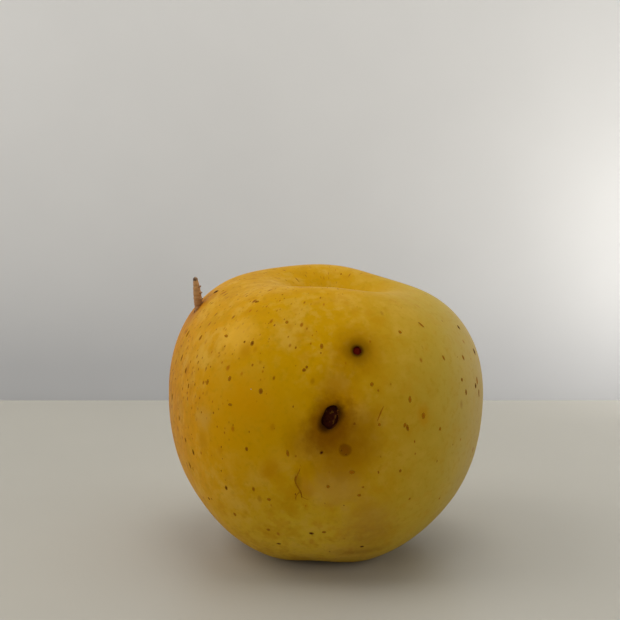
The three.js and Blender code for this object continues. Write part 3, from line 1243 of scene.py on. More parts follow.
@dataclass(frozen=True)
class WallFinish:
    """A burrow's wall: brown and dry at its mouth, and nearly black deeper in, where the darkening
    is painted shade.
    """

    # Painted shade: the wall's nearly black colour deep inside the burrow.
    deep: Colour = screen(24, 8, 2)
    mouth: Layer = Layer(screen(104, 46, 6), (0.6, 3.0))
    dust: Layer = Layer(screen(124, 80, 44), (0.75, 0.6), 0.5)
    gnawing: Grain = (1.6, 3.0, 0.65)
    roughness: Span = (0.7, 0.95)
    relief: float = 0.12
    specular: float = 0.05

    def material(self) -> bpy.types.Material:
        """Makes the material."""
        paint = Paint("burrow_wall")
        near = paint.distance(paint.place, EXIT.spot.place())
        for burrow in (ENTRY, HOME):
            near = near.math("MINIMUM", paint.distance(paint.place, burrow.spot.place()))
        gnawed = paint.noise(paint.place, *self.gnawing)
        colour = self.mouth.lay(paint, near, self.deep)
        colour = self.dust.lay(paint, gnawed, colour)
        return paint.finish(colour, blend(*self.roughness, gnawed), gnawed, self.relief,
                            Specular_IOR_Level=self.specular)


@dataclass(frozen=True)
class ScarFinish:
    """Corky tissue in a healed crack."""

    light: Colour = screen(188, 126, 10)
    dark: Colour = screen(146, 90, 8)
    grain: Grain = (3.0, 3.0, 0.6)
    roughness: Span = (0.75, 0.95)
    relief: float = 0.05
    specular: float = 0.05

    def material(self) -> bpy.types.Material:
        """Makes the material."""
        paint = Paint("cork")
        grain = paint.noise(paint.place, *self.grain)
        colour = paint.mix(grain, self.dark, self.light)
        return paint.finish(colour, blend(*self.roughness, grain), grain, self.relief,
                            Specular_IOR_Level=self.specular)


# The skin's colour round a soft dot.
SKIN_EDGE = screen(186, 124, 4)


@dataclass(frozen=True)
class DotFinish:
    """Lenticels, marks and crumbs: each has its own tone between dark, middling and light.

    A soft one fades into the skin at its rim.
    """

    name: str
    dark: Colour
    middling: Colour
    light: Colour
    soft: bool = False
    middling_tones: Span = (0.5, 0.85)
    grain: Grain = (4.0, 2.0, 0.5)
    tone_grain: float = 0.3
    rim_grain: float = 0.5
    rim_tone: float = 0.3
    colour_span: Span = (0.25, 0.9)
    solid_span: Span = (0.5, 0.98)
    roughness: Span = (0.6, 0.8)
    relief: float = 0.02
    specular: float = 0.04

    def material(self) -> bpy.types.Material:
        """Makes the material."""
        paint = Paint(self.name)
        grain = paint.noise(paint.place, *self.grain)
        tone = paint.attribute("tone") + (grain - 0.5) * self.tone_grain
        first, last = self.middling_tones
        stops = [(0.0, self.dark), (first, self.middling), (last, self.middling),
                 (1.0, self.light)]
        colour = paint.add("ShaderNodeValToRGB", {"stops": stops}, {0: tone})
        solid = 1.0
        if self.soft:
            rim = paint.attribute("rim") + (grain - 0.5) * self.rim_grain \
                + paint.attribute("tone") * self.rim_tone - self.rim_tone / 2
            colour = paint.mix(paint.fade(rim, *self.colour_span), SKIN_EDGE, colour)
            solid = paint.fade(rim, *self.solid_span)
        return paint.finish(colour, blend(*self.roughness, grain), grain, self.relief,
                            Specular_IOR_Level=self.specular, Alpha=solid)


# ---- The apple's skin ---------------------------------------------------------------------


@dataclass(frozen=True)
class Dent:
    """A soft hollow pressed into the skin."""

    spot: Spot
    depth: float
    radius: float

    def press(self, tree: PieceTree, point: Field) -> Field:
        """Moves a point of the skin inwards.

        Args:
            tree: The tree that places the skin.
            point: The point, in millimetres.

        Returns:
            The point's new place.
        """
        away = tree.distance(point, self.spot.place()) / self.radius
        inwards = tree.point(*plain(-self.spot.outwards()))
        step = tree.scaled(inwards, exponential(-squared(away)) * self.depth)
        return tree.vector("ADD", point, step)


DENTS = (
    Dent(Spot(-32.5, 294.0), 0.4, 8.0),
    Dent(EXIT.spot, 0.35, 4.6),
    Dent(ENTRY.spot, 0.2, 2.2),
    Dent(Spot(-1.7, 276.5), 0.12, 1.5),
    Dent(Spot(-1.0, 276.0), 0.3, 9.0),
)


@dataclass(frozen=True)
class Groove:
    """A narrow healed crack that runs along the skin past a few spots."""

    spots: tuple[Spot, ...]
    radius: float
    rounding: float = 2.0
    sides: int = 8
    rings: int = 40
    relief: Relief = (1.2, 0.22)

    def rod(self, tree: PieceTree) -> Field:
        """The rod that cuts the crack.

        Args:
            tree: The tree to add it to.

        Returns:
            The rod.
        """
        middle = self.spots[len(self.spots) // 2]
        path = Path(tuple(plain(spot.place()) for spot in self.spots), plain(middle.outwards()))
        rod = tree.tube(path, self.rings, self.sides, lambda share, angle: oval(
            both_ends(share, self.rounding, self.rounding, path.length()) * self.radius, angle))
        return tree.raised(rod, tree.bumps(*self.relief))


GROOVES = (
    Groove((Spot(-5.5, 262.2), Spot(-8.0, 262.0), Spot(-10.5, 261.0), Spot(-13.0, 261.0)), 0.14),
    Groove((Spot(-9.5, 261.1), Spot(-12.5, 260.8), Spot(-15.5, 262.3), Spot(-18.0, 262.5)), 0.18),
    Groove((Spot(-15.2, 262.1), Spot(-16.5, 261.2), Spot(-17.6, 260.6), Spot(-19.0, 260.8)), 0.12),
    Groove((Spot(-16.6, 262.5), Spot(-17.4, 263.0), Spot(-18.0, 264.0), Spot(-18.2, 265.0)), 0.1),
    Groove((Spot(12.4, 288.6), Spot(10.3, 287.6), Spot(8.2, 286.8), Spot(6.0, 286.0)), 0.17),
)


@dataclass
class AppleSkin:
    """The whole fruit's skin with its burrows."""

    columns: int = 360
    rows: int = 226
    end_crowding: float = 0.6
    front_crowding: float = 0.4
    unevenness: float = 0.16
    swell_scale: float = 0.11
    dimples: float = 0.05
    dimple_scale: float = 0.7
    bore_sides: int = 40
    bore_rings: int = 44
    gnawing: Relief = (1.1, 0.3)
    edge_angle: float = 28.0

    def sheet(self, tree: PieceTree) -> Field:
        """The uncut skin.

        Args:
            tree: The tree to add it to.

        Returns:
            The skin, flat where it stands on the table.
        """
        form = AppleForm(**{field.name: tree.size(field.name.replace("_", " "),
                                                  float(getattr(APPLE, field.name)))
                            for field in fields(AppleForm)})
        ends = tree.size("end crowding", self.end_crowding)
        front = tree.size("front crowding", self.front_crowding)

        def place(turn: Field, share: Field) -> Point:
            """A point of the dented skin.

            Args:
                turn: The share of the way round the core.
                share: The share of the way from the calyx basin to the stem cavity.

            Returns:
                The point.
            """
            even = share * 2.0 - 1.0
            latitude = blend(even, sine(even * QUARTER), ends) * QUARTER
            way = turn * TURN
            point = tree.point(*form.skin(latitude, way - cosine(way) * front))
            for dent in DENTS:
                point = dent.press(tree, point)
            return tree.parts(point)

        skin = tree.sheet(tree.size("columns", self.columns), tree.size("rows", self.rows), place)
        swell = tree.bumps(self.swell_scale, 1.0) * tree.size("unevenness", self.unevenness)
        dimple = tree.bumps(self.dimple_scale, 1.0) * tree.size("dimples", self.dimples)
        uneven = tree.raised(skin, swell + dimple)
        x, y, z = tree.parts(tree.position())
        return tree.put(uneven, tree.point(x, y, at_least(z, 0.0)))

    def cutters(self, tree: PieceTree) -> list[Field]:
        """The rods that cut the burrows and the cracks.

        Args:
            tree: The tree to add them to.

        Returns:
            The rods, each dressed in the finish of the wall that it leaves.
        """
        wall = WallFinish().material()
        cork = ScarFinish().material()
        gnawed = tree.bumps(*self.gnawing)
        bores = [tree.raised(tree.sheet(self.bore_sides, self.bore_rings, burrow.wall), gnawed)
                 for burrow in BURROWS]
        cracks = [groove.rod(tree) for groove in GROOVES]
        return [tree.dressed(bore, wall) for bore in bores] \
            + [tree.dressed(crack, cork) for crack in cracks]

    def build(self) -> bpy.types.Object:
        """Makes the skin."""
        tree = PieceTree("apple_skin")
        skin = self.sheet(tree)
        rods = self.cutters(tree)
        marked = [tree.marked(rod, "cut", 1.0) for rod in rods]
        cut = tree.add("GeometryNodeMeshBoolean", {"operation": "DIFFERENCE", "solver": "MANIFOLD"},
                       {"Mesh 1": skin, "Mesh 2": tree.joined(marked)})
        outside = 1.0 - tree.kept("cut")
        piece = tree.grow("apple_skin", cut, SkinFinish().material(), outside)
        piece.data.set_sharp_from_angle(angle=self.edge_angle * DEGREE)
        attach(piece, "root")
        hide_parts("apple")
        return piece


# ---- Lenticels, flecks and crumbs ---------------------------------------------------------


# The ball that each lenticel and fleck is flattened from.
DOME = {"Segments": 8, "Rings": 6, "Radius": 1.0}


def scattered(tree: PieceTree, points: Field, outwards: Field, long_way: Field,
              scale: Field) -> Field:
    """Small flat domes on points of a skin.

    Args:
        tree: The tree to add them to.
        points: The points.
        outwards: The skin's outward direction at each.
        long_way: The way that each dome's long axis lies.
        scale: Each dome's three radii, in metres.

    Returns:
        The domes, as instances.
    """
    ball = tree.add("GeometryNodeMeshUVSphere", {}, DOME)
    x, y, _ = tree.parts(tree.position())
    dome = tree.marked(ball, "rim", (squared(x) + squared(y)) ** 0.5, Domain.POINT)
    stood = tree.add("FunctionNodeAlignRotationToVector", {"axis": "Z"}, {"Vector": outwards})
    turned = tree.add("FunctionNodeAlignRotationToVector", {"axis": "Y", "pivot_axis": "Z"},
                      {"Rotation": stood, "Vector": long_way})
    return tree.add("GeometryNodeInstanceOnPoints", {},
                    {"Points": points, "Instance": dome, "Rotation": turned, "Scale": scale})


@dataclass
class Lenticels:
    """The many small pores of the skin, thicker on its sunny side and its shoulders."""

    skin: bpy.types.Object
    spacing: float = 3.0
    density: float = 0.075
    filled: float = 0.6
    flank: Span = (-38.0, -20.0)
    flank_share: float = 0.5
    shoulder: Span = (-62.0, -36.0)
    shoulder_share: float = 0.6
    shaded_share: float = 0.15
    smallest: float = 0.16
    largest: float = 0.42
    longest: float = 1.9
    height: float = 0.035
    lowest: float = 1.0
    seed: int = 7

    def build(self) -> bpy.types.Object:
        """Makes the lenticels."""
        tree = PieceTree("lenticels", self.skin.data)
        smallest = tree.size("smallest", self.smallest)
        largest = tree.size("largest", self.largest)
        x, _, z = tree.parts(tree.position())
        flank = tree.fade(x, *(edge * MM for edge in self.flank))
        shoulder = tree.fade(x - z * SUN_SLOPE, *(edge * MM for edge in self.shoulder))
        sunny = flank * self.flank_share + shoulder * self.shoulder_share + self.shaded_share
        sound = (1.0 - tree.kept("cut")) * is_over(z, self.lowest * MM)
        spread = tree.add("GeometryNodeDistributePointsOnFaces",
                          {"distribute_method": "POISSON"},
                          {"Mesh": tree.start(), "Distance Min": self.spacing * MM,
                           "Density Max": self.density / (MM * MM),
                           "Density Factor": sunny * sound * self.filled, "Seed": self.seed})
        chance = tree.chance(self.seed + 1)
        size = blend(smallest, largest, chance ** 2.0) * MM
        drawn_out = tree.chance(self.seed + 2, 1.0, self.longest)
        scale = tree.point(size, size * drawn_out, self.height * MM)
        toned = tree.marked(spread, "tone", chance, Domain.POINT)
        core = numbers(APPLE.skin(QUARTER, 0.0)) * MM
        up = tree.vector("SUBTRACT", core, tree.position())
        faced = tree.marked(toned, "outwards", spread.also("Normal"), Domain.POINT, Kind.VECTOR)
        domes = scattered(tree, faced, tree.kept("outwards", Kind.VECTOR), up, scale)
        finish = DotFinish("lenticel", screen(124, 62, 4), screen(152, 86, 4),
                           screen(174, 110, 6), True).material()
        piece = tree.grow("lenticels", domes, finish)
        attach(piece, "root")
        return piece


@dataclass(frozen=True)
class Fleck:
    """One of the larger marks, by its half length, half width, tone and tilt in degrees."""

    spot: Spot
    length: float
    width: float
    tone: float = 0.0
    tilt: float = 0.0


# Each row is a latitude and azimuth, then a half length, half width, tone and tilt.
FLECKS = tuple(Fleck(Spot(latitude, azimuth), *sizes) for latitude, azimuth, *sizes in (
    (-2.5, 269.0, 0.55, 0.42, 0.0, 40.0),
    (5.7, 279.0, 0.4, 0.36, 0.25),
    (-1.7, 275.3, 0.36, 0.32, 0.13),
    (-2.8, 276.8, 0.32, 0.38, 0.16),
    (24.0, 261.2, 0.55, 0.45, 0.3, 60.0),
    (25.2, 262.0, 0.4, 0.34, 0.3),
    (34.0, 266.5, 0.8, 0.46, 0.45),
    (20.0, 284.5, 0.55, 0.5, 0.5),
    (-8.0, 279.0, 0.6, 0.85, 0.5),
    (-16.0, 282.0, 0.45, 0.55, 0.5),
    (-13.0, 271.5, 0.5, 0.48, 0.5),
    (-8.0, 295.0, 0.45, 0.4, 0.4),
    (-3.3, 258.0, 0.95, 0.4, 0.5, -10.0),
    (-3.5, 244.0, 0.55, 0.45, 0.3),
    (14.7, 244.0, 0.28, 0.26, 1.1),
    (7.5, 302.5, 0.9, 0.6, 0.6),
    (2.0, 310.0, 0.55, 0.45, 0.5),
    (7.0, 343.0, 0.7, 0.5, 0.35),
    (-9.8, 217.5, 0.8, 0.55, 0.1, -20.0),
    (-7.5, 211.0, 0.7, 0.6, 0.3),
    (-16.0, 211.5, 0.9, 0.6, 0.2, -20.0),
    (-26.0, 221.5, 0.5, 0.5, 0.3),
    (16.0, 197.0, 1.0, 0.6, 0.25, 10.0),
    (25.0, 191.0, 1.1, 0.7, 0.35, 20.0),
    (0.5, 191.0, 1.0, 0.6, 0.15),
    (-43.0, 287.5, 0.4, 0.55, -0.1),
    (46.0, 178.5, 1.1, 0.7, -0.2, 80.0),
    (13.3, 206.5, 0.8, 0.55, 0.2),
    (-2.5, 204.0, 0.7, 0.55, 0.25),
    (-13.0, 283.0, 0.35, 0.35, 0.6),
    (-19.0, 300.5, 0.4, 0.35, 0.6),
    (-23.0, 317.5, 0.4, 0.4, 0.55),
    (51.0, 228.5, 0.5, 0.7, 0.35),
    (43.0, 250.0, 0.5, 0.45, 0.5),
    (32.0, 239.5, 0.7, 0.5, 0.2),
    (32.0, 236.0, 0.35, 0.3, 0.3),
    (27.5, 208.5, 0.9, 0.7, 0.4, 15.0),
    (32.5, 226.0, 0.45, 0.8, 0.5, 10.0),
    (17.0, 235.0, 0.75, 0.5, 0.45, 15.0),
    (13.5, 225.0, 0.8, 0.55, 0.45, 15.0),
    (14.5, 247.5, 0.75, 0.6, 0.35),
    (8.0, 237.0, 0.4, 0.7, 0.5),
    (9.0, 212.5, 0.7, 0.5, 0.4),
    (-18.0, 234.5, 0.65, 0.45, 0.15),
    (-19.5, 251.0, 0.5, 0.6, 0.5),
    (-29.0, 235.0, 0.65, 0.5, 0.45),
    (-34.0, 248.0, 0.5, 0.55, 0.45),
    (-34.0, 265.5, 0.5, 0.6, 0.05),
    (-33.0, 270.5, 0.45, 0.6, 0.4),
    (-42.5, 250.0, 0.45, 0.6, 0.1),
    (41.5, 299.0, 0.55, 0.5, 0.5),
    (44.0, 313.0, 1.1, 0.45, 0.4, -30.0),
    (28.0, 317.0, 0.8, 0.45, 0.35, -20.0),
    (14.0, 297.5, 0.95, 0.5, 0.6),
    (5.0, 295.5, 0.7, 0.4, 0.5, 20.0),
    (4.0, 296.5, 0.9, 0.45, 0.4, -15.0),
    (5.5, 287.0, 0.45, 0.4, 0.5),
    (17.0, 326.0, 0.55, 0.55, 0.2),
    (11.5, 328.0, 0.8, 0.6, 0.2),
    (11.5, 339.0, 0.7, 0.7, 0.0),
    (8.0, 343.0, 0.8, 0.6, 0.25),
    (13.0, 342.0, 1.2, 0.7, 0.5),
    (25.0, 333.0, 0.8, 0.6, 0.3, -20.0),
    (24.0, 350.0, 0.9, 0.8, -0.2, -20.0),
    (37.0, 347.0, 0.7, 0.7, -0.1),
))


@dataclass
class Flecks:
    """The larger marks, each a scab of its own on the skin."""

    skin: bpy.types.Object
    height: float = 0.05
    relief: Relief = (2.5, 0.03)

    def build(self) -> bpy.types.Object:
        """Makes the marks."""
        found = [self.skin.closest_point_on_mesh(Vector(fleck.spot.place() * MM))
                 for fleck in FLECKS]
        mesh = bpy.data.meshes.new("fleck_places")
        mesh.from_pydata([place for _, place, _, _ in found], [], [])
        kept = {
            "outwards": [outwards for _, _, outwards, _ in found],
            "radii": [(fleck.width * MM, fleck.length * MM, self.height * MM)
                      for fleck in FLECKS],
            "long_way": [fleck.spot.way(fleck.tilt) for fleck in FLECKS],
        }
        for name, rows in kept.items():
            attribute = mesh.attributes.new(name, Kind.VECTOR.value, Domain.POINT.value)
            attribute.data.foreach_set("vector", np.array(rows, np.float32).ravel())
        tones = mesh.attributes.new("tone", Kind.NUMBER.value, Domain.POINT.value)
        tones.data.foreach_set("value", [fleck.tone for fleck in FLECKS])

        tree = PieceTree("flecks", mesh)
        points = tree.add("GeometryNodeMeshToPoints", {}, {"Mesh": tree.start()})
        domes = scattered(tree, points, *(tree.kept(name, Kind.VECTOR)
                                          for name in ("outwards", "long_way", "radii")))
        ragged = tree.raised(tree.realized(domes), tree.bumps(*self.relief))
        finish = DotFinish("fleck", screen(56, 20, 3), screen(160, 98, 4),
                           screen(226, 200, 150), True).material()
        piece = tree.grow("flecks", ragged, finish)
        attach(piece, "root")
        return piece


@dataclass
class Crumbs:
    """Frass: gnawed crumbs that cling to part of a burrow's wall near its mouth."""

    name: str
    burrow: Burrow
    turns: Span
    depths: Span
    density: float
    sizes: Span
    finish: DotFinish
    flatness: tuple[float, float] = (0.7, 0.8)
    spin: float = 6.28
    relief: Relief = (4.0, 0.3)
    patch_sides: int = 12
    patch_rings: int = 8
    fineness: int = 2
    seed: int = 3

    def build(self) -> bpy.types.Object:
        """Makes the crumbs."""
        tree = PieceTree(self.name)
        turn_span = tree.size("turn span", self.turns[1] - self.turns[0])
        depth_span = tree.size("depth span", self.depths[1] - self.depths[0])
        patch = tree.sheet(self.patch_sides, self.patch_rings, lambda turn, share: self.burrow.wall(
            turn * turn_span + self.turns[0],
            (share * depth_span + (self.depths[0] + self.burrow.overshoot))
            / self.burrow.reach()))
        spread = tree.add("GeometryNodeDistributePointsOnFaces", {"distribute_method": "RANDOM"},
                          {"Mesh": patch, "Density": self.density / (MM * MM),
                           "Seed": self.seed})
        chance = tree.chance(self.seed + 1)
        size = blend(*self.sizes, chance) * MM
        spin = tree.add("FunctionNodeRandomValue", {"data_type": Kind.VECTOR.value},
                        {"Max": (self.spin,) * 3, "Seed": self.seed + 2})
        crumb = tree.add("GeometryNodeMeshIcoSphere", {},
                         {"Radius": 1.0, "Subdivisions": self.fineness})
        toned = tree.marked(spread, "tone", chance, Domain.POINT)
        width, height = self.flatness
        crumbs = tree.add("GeometryNodeInstanceOnPoints", {},
                          {"Points": toned, "Instance": crumb, "Rotation": spin,
                           "Scale": tree.point(size, size * width, size * height)})
        rough = tree.raised(tree.realized(crumbs), tree.bumps(*self.relief))
        piece = tree.grow(self.name, rough, self.finish.material())
        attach(piece, "root")
        return piece


@dataclass
class Plug:
    """Packed frass that fills a burrow a little way in."""

    name: str
    burrow: Burrow
    depths: Span
    relief: float
    finish: DotFinish
    ridge_height: float = 0.0
    ridge_offset: float = 1.0
    ridge_width: float = 0.3
    ridge_length: float = 1.2
    # How much lighter the ridge is: a torn strip of frass, and also a painted highlight.
    ridge_tone: float = 0.8
    fill: float = 1.35
    front_rounding: float = 0.15
    back_rounding: float = 0.3
    sides: int = 56
    rings: int = 60
    lumps: Span = (0.9, 4.0)
    tones: Relief = (0.8, 3.0, 3.0)

    def ridge(self, tree: PieceTree) -> Field:
        """A torn ridge beside the plug's middle.

        Args:
            tree: The tree to add it to.

        Returns:
            How far up the ridge each point is, from 0 to 1.
        """
        _, long_axis, short_axis = self.burrow.axes()
        place = tree.scaled(tree.position(), 1 / MM)
        away = tree.vector("ADD", place, -self.burrow.spot.place())
        along, across = tree.along(away, long_axis), tree.along(away, short_axis)
        return exponential(-squared((across - self.ridge_offset) / self.ridge_width)
                           - squared(along / self.ridge_length))

    def build(self) -> bpy.types.Object:
        """Makes the plug."""
        tree = PieceTree(self.name)
        _, long_axis, _ = self.burrow.axes()
        inwards = -self.burrow.spot.outwards()
        first, last = self.depths
        steps = [inwards * (first + (last - first) * share) for share in THIRDS]
        path = path_from(self.burrow.spot.place(), steps, plain(long_axis))
        fill = tree.size("fill", self.fill)

        def place(turn: Number, share: Number) -> Point:
            """A point of the plug.

            Args:
                turn: The share of the way round it.
                share: The share of the way inwards, counted in rings.

            Returns:
                The point.
            """
            along = squared(share)
            size = both_ends(along, self.front_rounding, self.back_rounding) * fill
            return path.beside(along, *oval(size, turn * TURN, self.burrow.length,
                                            self.burrow.width))

        lump = tree.sheet(tree.size("sides", self.sides), tree.size("rings", self.rings), place)
        ridge = self.ridge(tree) * is_over(self.ridge_height, 0.0)
        lump = tree.marked(lump, "ridge", ridge, Domain.POINT)
        scale, detail = self.lumps
        lump = tree.raised(lump, tree.bumps(scale, self.relief, detail)
                           + tree.kept("ridge") * self.ridge_height)
        # The ridge is lighter, partly in its own colour and partly as a painted highlight.
        tone = tree.bumps(*self.tones) + 0.5 + tree.kept("ridge") * self.ridge_tone
        toned = tree.marked(lump, "tone", tone, Domain.POINT)
        piece = tree.grow(self.name, toned, self.finish.material())
        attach(piece, "root")
        return piece


# ---- The larva ----------------------------------------------------------------------------


@dataclass(frozen=True)
class LarvaFinish:
    """A larva's soft ringed skin, and its hard dark head."""

    back: Colour = screen(180, 132, 74)
    belly: Colour = screen(190, 144, 86)
    mottling: Grain = (2.4, 3.0, 0.6)
    groove: Colour = screen(138, 92, 44)
    groove_strength: float = 0.6
    head: Colour = screen(74, 46, 22)
    brow: Layer = Layer(screen(142, 108, 66), (0.72, 0.5))
    plates: Grain = (1.3, 2.0, 0.6)
    plates_above: float = 0.3
    tail: Layer = Layer(screen(156, 96, 44), (0.5, 3.5), 0.6)
    roughness: Span = (0.5, 0.28)
    relief: float = 0.03
    specular: float = 0.4
    translucency: float = 0.15
    glow_reach: tuple[float, float, float] = (0.8, 0.35, 0.2)

    def material(self) -> bpy.types.Material:
        """Makes the material."""
        paint = Paint("larva_skin")
        ring, head, belly = (paint.attribute(name) for name in ("ring", "head", "belly"))
        mottle = paint.noise(paint.place, *self.mottling)
        colour = paint.mix(limited(belly + (mottle - 0.5)), self.back, self.belly)
        colour = paint.mix(ring * self.groove_strength, colour, self.groove)
        plates = paint.noise(paint.place, *self.plates) + belly * self.plates_above
        colour = paint.mix(head, colour, self.brow.lay(paint, plates, self.head))
        away = paint.distance(paint.place, HOME.spot.place())
        colour = self.tail.lay(paint, away, colour)
        return paint.finish(colour, blend(*self.roughness, head), mottle, self.relief,
                            Specular_IOR_Level=self.specular,
                            Subsurface_Weight=self.translucency,
                            Subsurface_Radius=self.glow_reach, Subsurface_Scale=MM)


@dataclass
class Larva:
    """The larva that rears out of its burrow."""

    steps: tuple = ((0.85, 0.2, -4.4), (0.45, 0.1, -2.2), (0.16, 0.0, 0.0), (0.06, -0.05, 2.0),
                    (-0.18, -0.1, 4.2), (-0.5, -0.1, 6.2), (-0.62, -0.1, 7.75))
    rings: int = 120
    sides: int = 28
    body_radius: float = 1.05
    neck_radius: float = 0.6
    taper_start: float = 0.55
    tail_rounding: float = 1.0
    head_radius: float = 0.62
    head_length: float = 0.95
    head_rounding: float = 0.75
    face_rounding: float = 0.4
    segments: int = 9
    groove_depth: float = 0.08
    groove_breadth: float = 0.22
    segment_wrinkles: int = 3
    wrinkle_depth: float = 0.02
    relief: Relief = (1.8, 0.08)
    leg_shares: tuple = (0.53, 0.66, 0.79)
    leg_rings: int = 12
    leg_sides: int = 10
    leg_reach: float = 0.5
    leg_radius: float = 0.28
    leg_splay: float = 38 * DEGREE
    leg_steps: tuple = (0.2, 0.6, 0.8)
    foot_step: float = 0.25
    foot_lean: tuple[float, float] = (0.86, 0.3)
    leg_ends: tuple[float, float] = (0.2, 0.5)
    leg_joints: int = 3
    joint_depth: float = 0.15
    leg_darkness: float = 0.45

    def __post_init__(self) -> None:
        """Works out the path."""
        self.path = path_from(HOME.spot.place(), self.steps)
        self.body_share = 1.0 - self.head_length / self.path.length()

    def ring(self, share: Number) -> Number:
        """How far into a groove between two segments a share of the way is, from 0 to 1."""
        wave = sine(share * (math.pi * self.segments / self.body_share))
        return 1.0 - at_least(squared(wave), TINY) ** self.groove_breadth

    def radius(self, share: Number) -> Number:
        """The larva's radius.

        Args:
            share: The share of the way from its tail to the front of its head.

        Returns:
            The radius.
        """
        body = at_most(share / self.body_share, 1.0)
        rise = at_least((body - self.taper_start) / (1.0 - self.taper_start), 0.0)
        taper = blend(self.body_radius, self.neck_radius, squared(rise))
        waves = math.pi * self.segments * self.segment_wrinkles
        wrinkle = sine(body * waves) * self.wrinkle_depth
        trunk = taper * (1.0 - self.ring(share) * self.groove_depth + wrinkle)
        from_tip = (1.0 - share) * self.path.length()
        head = rounded(from_tip, self.head_length * self.head_rounding) * self.head_radius
        in_head = is_over(share, self.body_share)
        return blend(trunk, head, in_head) \
            * rounded(share * self.path.length(), self.tail_rounding) \
            * rounded(from_tip, self.face_rounding)

    def leg_section(self, share: Number, angle: Number) -> tuple[Number, Number]:
        """A point of a leg's section, at a share of the way along it and an angle."""
        joints = 1.0 - squared(sine(share * (math.pi * self.leg_joints))) * self.joint_depth
        return oval(both_ends(share, *self.leg_ends) * joints * self.leg_radius, angle)

    def legs(self, tree: PieceTree) -> list[Field]:
        """The three pairs of legs.

        Args:
            tree: The tree to add them to.

        Returns:
            The legs.
        """
        made = []
        for share in self.leg_shares:
            root, along = numbers(self.path.at(share)), numbers(self.path.along(share))
            first, second = (numbers(way) for way in self.path.ways(share))
            length = self.radius(share) + self.leg_reach
            for hand in (-1, 1):
                way = first * math.cos(self.leg_splay) + second * hand * math.sin(self.leg_splay)
                outwards, forwards = self.foot_lean
                foot = way * outwards + along * forwards
                steps = [way * length * step for step in self.leg_steps]
                steps.append(steps[-1] + foot * length * self.foot_step)
                leg = tree.tube(path_from(root, steps, plain(along)), self.leg_rings,
                                self.leg_sides, self.leg_section)
                made.append(tree.marked(leg, "head", self.leg_darkness, Domain.POINT))
        return made

    def build(self) -> bpy.types.Object:
        """Makes the larva."""
        tree = PieceTree("larva")
        body = tree.tube(self.path, tree.size("rings", self.rings),
                         tree.size("sides", self.sides),
                         lambda share, angle: oval(self.radius(share), angle))
        u, v, _ = tree.parts(tree.kept("UVMap", Kind.VECTOR))
        marks = {"ring": self.ring(v), "head": is_over(v, self.body_share),
                 "belly": cosine(u * TURN) * 0.5 + 0.5}
        for name, value in marks.items():
            body = tree.marked(body, name, value, Domain.CORNER)
        whole = tree.raised(tree.joined([body, *self.legs(tree)]), tree.bumps(*self.relief))
        piece = tree.grow("larva_body", whole, LarvaFinish().material())
        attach(piece, "root")
        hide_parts("larva")
        return piece


# ---- The stem and the calyx ---------------------------------------------------------------


@dataclass(frozen=True)
class WoodFinish:
    """Dry brown bark or sepal: streaked lengthwise and rough."""

    name: str
    light: Colour
    dark: Colour
    tip: Colour
    relief: float = 0.12
    stretch: tuple[float, float, float] = (3.2, 3.2, 0.7)
    streaks: Grain = (1.0, 4.0, 0.65)
    dark_span: Span = (0.4, 0.62)
    grain: Grain = (3.5, 2.0, 0.5)
    light_span: Span = (0.75, 0.55)
    light_strength: float = 0.5
    least_frayed: float = 0.35
    roughness: Span = (0.75, 0.95)
    specular: float = 0.2

    def material(self) -> bpy.types.Material:
        """Makes the material."""
        paint = Paint(self.name)
        streaked = paint.vector("MULTIPLY", paint.place, self.stretch)
        streaks = paint.noise(streaked, *self.streaks)
        grain = paint.noise(paint.place, *self.grain)
        colour = paint.mix(paint.fade(streaks, *self.dark_span), self.light, self.dark)
        lit = Layer(self.light, self.light_span, self.light_strength)
        colour = lit.lay(paint, grain, colour)
        frayed = paint.attribute("tip") * blend(self.least_frayed, 1.0, grain)
        colour = paint.mix(frayed, colour, self.tip)
        return paint.finish(colour, blend(*self.roughness, grain), streaks, self.relief,
                            Specular_IOR_Level=self.specular)


@dataclass
class Stem:
    """A short stub of the stem, swollen where it broke off."""

    steps: tuple = ((0.0, 0.0, 1.1), (0.1, -0.05, 2.4), (0.45, -0.25, 4.8), (1.0, -0.5, 7.2))
    rings: int = 80
    sides: int = 54
    root_radius: float = 0.75
    root_rounding: float = 0.75
    waist_radius: float = 1.05
    waist_share: float = 0.4
    swelling_start: float = 0.6
    swelling_reach: float = 0.35
    tip_radius: float = 1.5
    tip_rounding: float = 0.7
    ridges: int = 9
    ridge_relief: float = 0.05
    ridge_twist: float = 2.0
    relief: Relief = (1.6, 0.3, 3.0)
    frayed_span: Span = (0.95, 0.88)

    def build(self) -> bpy.types.Object:
        """Makes the stem."""
        tree = PieceTree("stem")
        path = path_from(numbers(APPLE.skin(QUARTER, 0.0)), self.steps)

        def section(share: Number, angle: Number) -> tuple[Number, Number]:
            """A point of the stem's section.

            Args:
                share: The share of the way up.
                angle: The way to the point.

            Returns:
                How far the point is each way across.
            """
            low = at_most(share / self.waist_share, 1.0)
            high = limited((share - self.swelling_start) / self.swelling_reach)
            radius = blend(self.root_radius, self.waist_radius, eased(low)) \
                + eased(high) * (self.tip_radius - self.waist_radius)
            ends = both_ends(share, self.root_rounding, self.tip_rounding, path.length())
            wave = sine(angle * self.ridges + share * self.ridge_twist)
            return oval(radius * ends * (1.0 + wave * self.ridge_relief), angle)

        tube = tree.tube(path, tree.size("rings", self.rings), tree.size("sides", self.sides),
                         section)
        _, v, _ = tree.parts(tree.kept("UVMap", Kind.VECTOR))
        tube = tree.marked(tube, "tip", tree.fade(v, *self.frayed_span), Domain.CORNER)
        bark = tree.raised(tube, tree.bumps(*self.relief))
        finish = WoodFinish("bark", screen(128, 98, 62), screen(66, 44, 26),
                            screen(128, 100, 66)).material()
        piece = tree.grow("stem_stub", bark, finish)
        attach(piece, "root")
        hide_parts("stem")
        return piece


